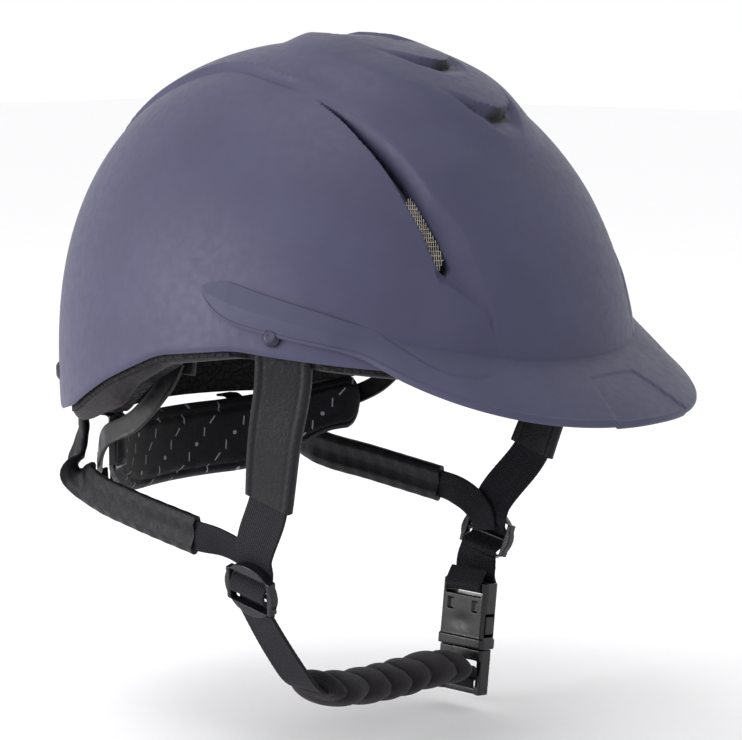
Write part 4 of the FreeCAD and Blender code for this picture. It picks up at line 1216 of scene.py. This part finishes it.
def band_path(sign):
    """From beside the dial housing, round the head, up to the clip in the liner."""
    z = -48.0 + sign * 8.8
    level = [vec(38.6, 113, z), vec(43, 112.9, z), vec(51, 104.5, (z - 38) / 2), vec(64, 90, (z - 76) / 3),
             vec(80, 68, -28)]
    return [(point, UP) for point in level] + [(vec(80, 50, -19), vec(0, 0.3, 1)),
                                               (vec(79, 33, -3), vec(0, 0.8, 1)),
                                               (vec(77, 26, 9), vec(0, 1, 0.2))]


def band_ribs(along, across):
    """Raised rim along a moulded band and fine teeth on its first stretch."""
    rim = 0.25 * bell(np.abs(across), 3.9, 0.35)
    teeth = 0.2 * ramp(np.sin(along * math.pi), -0.3, 0.3) * ramp(2.6 - np.abs(across), 0, 0.4)
    return rim + teeth * ramp(-along, -44, -42)


def add_fit_system():
    """Bands that draw the cradle in, and the webbing tabs that it hangs from."""
    bends = ((114, -27.4), (108, -27.6), (103.5, -32), (101.5, -40))
    hanger = [(vec(38, *bend), vec(1, 0, 0)) for bend in bends]
    for side, sign in SIDES:
        band = strap(side + "_band_strip", side + "_band", band_path(sign), 9.0, 1.5, BLACK_PLASTIC,
                     band_ribs, 0.5, mirror=sign < 0)
        give_way(band)
        tab = strap("hanger_tab_" + side, "cradle_hanger_" + side, hanger, 10, 1.2, step=0.5,
                    across_points=15, mirror=sign < 0)
        give_way(tab)
        moulded("band_clip_" + side, BLACK_PLASTIC, voxel=0.4)


def paint(node, material):
    """New material on a CAD node whose shape stays."""
    for slot in frame["nodes"][node].material_slots:
        slot.material = material


def blind_slots(points):
    """Two short blind slots in the buckle's inner face, and a shallow thumb dish below them."""
    along = buckle_point(1.0) - BUCKLE_TOP
    through = np.cross(along, SIDEWAYS)
    u, v, n = ((points - BUCKLE_TOP) @ axis for axis in (along, SIDEWAYS, through))
    inner_face = ramp(-n, 3.9, 4.4)
    slots = ramp(np.abs(u - 11.2), 2.6, 2.2) * ramp(np.abs(np.abs(v) - 7.0), 1.7, 1.3)
    dish = 0.35 * bell(u, 18.5, 3.2) * bell(v, 0, 5)
    return points + through * (inner_face * (1.35 * slots + dish))[:, None]


def add_hardware():
    """Buckle, dial, rivets and the plain moulded parts."""
    moulded("buckle_female", BUCKLE_PLASTIC, 0.3, 12, shape=blind_slots)
    for node in ("buckle_male", "prong_front", "prong_rear"):
        moulded(node, BUCKLE_PLASTIC, 0.3, 12)
    moulded("dial_knob", BLACK_PLASTIC, 0.3, 4)
    moulded("dial_housing", BLACK_PLASTIC, 0.5, 4)
    for node in ("front_rivets", "rear_rivets"):
        moulded(node, RIVET_METAL, 0.3, 5)
    for node in ("cradle_carrier", "dial_pinion", "left_rack", "right_rack"):
        paint(node, BLACK_PLASTIC)
    for node in ("anchor_plates", "dial_screw"):
        paint(node, STEEL)
    paint("hook_patches", HOOK)


# ---------------------------------------------------------------- camera, light and floor

def add_camera():
    """Camera at the reference view: 48 degrees round from the front, 8 degrees up, 1.1 m away."""
    azimuth, height, distance = math.radians(-48), math.radians(8), 1.1
    level = math.cos(height)
    back = Vector((math.sin(azimuth) * level, -math.cos(azimuth) * level, math.sin(height)))
    data = bpy.data.cameras.new("camera")
    data.sensor_width = 36.0
    data.lens = 122.8
    data.shift_x = 0.031
    data.shift_y = -0.0034
    camera = aimed("camera", data, back * distance)
    bpy.context.scene.camera = camera


def aimed(name, data, place):
    """Camera or light at a place in metres, turned to the middle of the helmet's frame."""
    thing = new_object(name, data)
    thing.location = place
    thing.rotation_euler = (-Vector(place)).to_track_quat("-Z", "Y").to_euler()
    return thing


def add_light(name, energy, size, place, colour):
    """Soft rectangular light that faces the helmet."""
    data = bpy.data.lights.new(name, "AREA")
    data.energy = energy
    data.size = size
    data.color = colour
    aimed(name, data, place)


def add_stage():
    """Pale floor under the chin strap, white surroundings and soft lights."""
    half, height = 6000, (CAD_BOX[0][2] - 0.006) / MM
    corners = [(x * half, y * half, height) for x, y in ((-1, -1), (1, -1), (1, 1), (-1, 1))]
    add_piece("floor", corners, [(0, 1, 2, 3)], studio_floor(), None)
    world = bpy.data.worlds.new("studio")
    world.use_nodes = True
    background = world.node_tree.nodes["Background"]
    background.inputs["Color"].default_value = (1, 1, 1, 1)
    background.inputs["Strength"].default_value = 1.0
    bpy.context.scene.world = world
    add_light("key", 16, 0.9, (-1.3, 0.8, 0.35), (1, 0.96, 0.97))
    add_light("top", 5, 0.7, (-0.5, 0.3, 1.5), (1, 0.97, 0.98))
    bpy.context.scene.view_settings.view_transform = "Standard"


add_camera()
add_stage()
add_shell()
add_peak()
add_liner()
add_trim()
add_vent_mesh(1, "mesh_insert_left")
add_vent_mesh(-1, "mesh_insert_right")
add_headband()
add_cradle_pad()
add_crown_pad()
add_side_straps()
add_chin_strap()
add_chin_pad()
add_fit_system()
add_hardware()
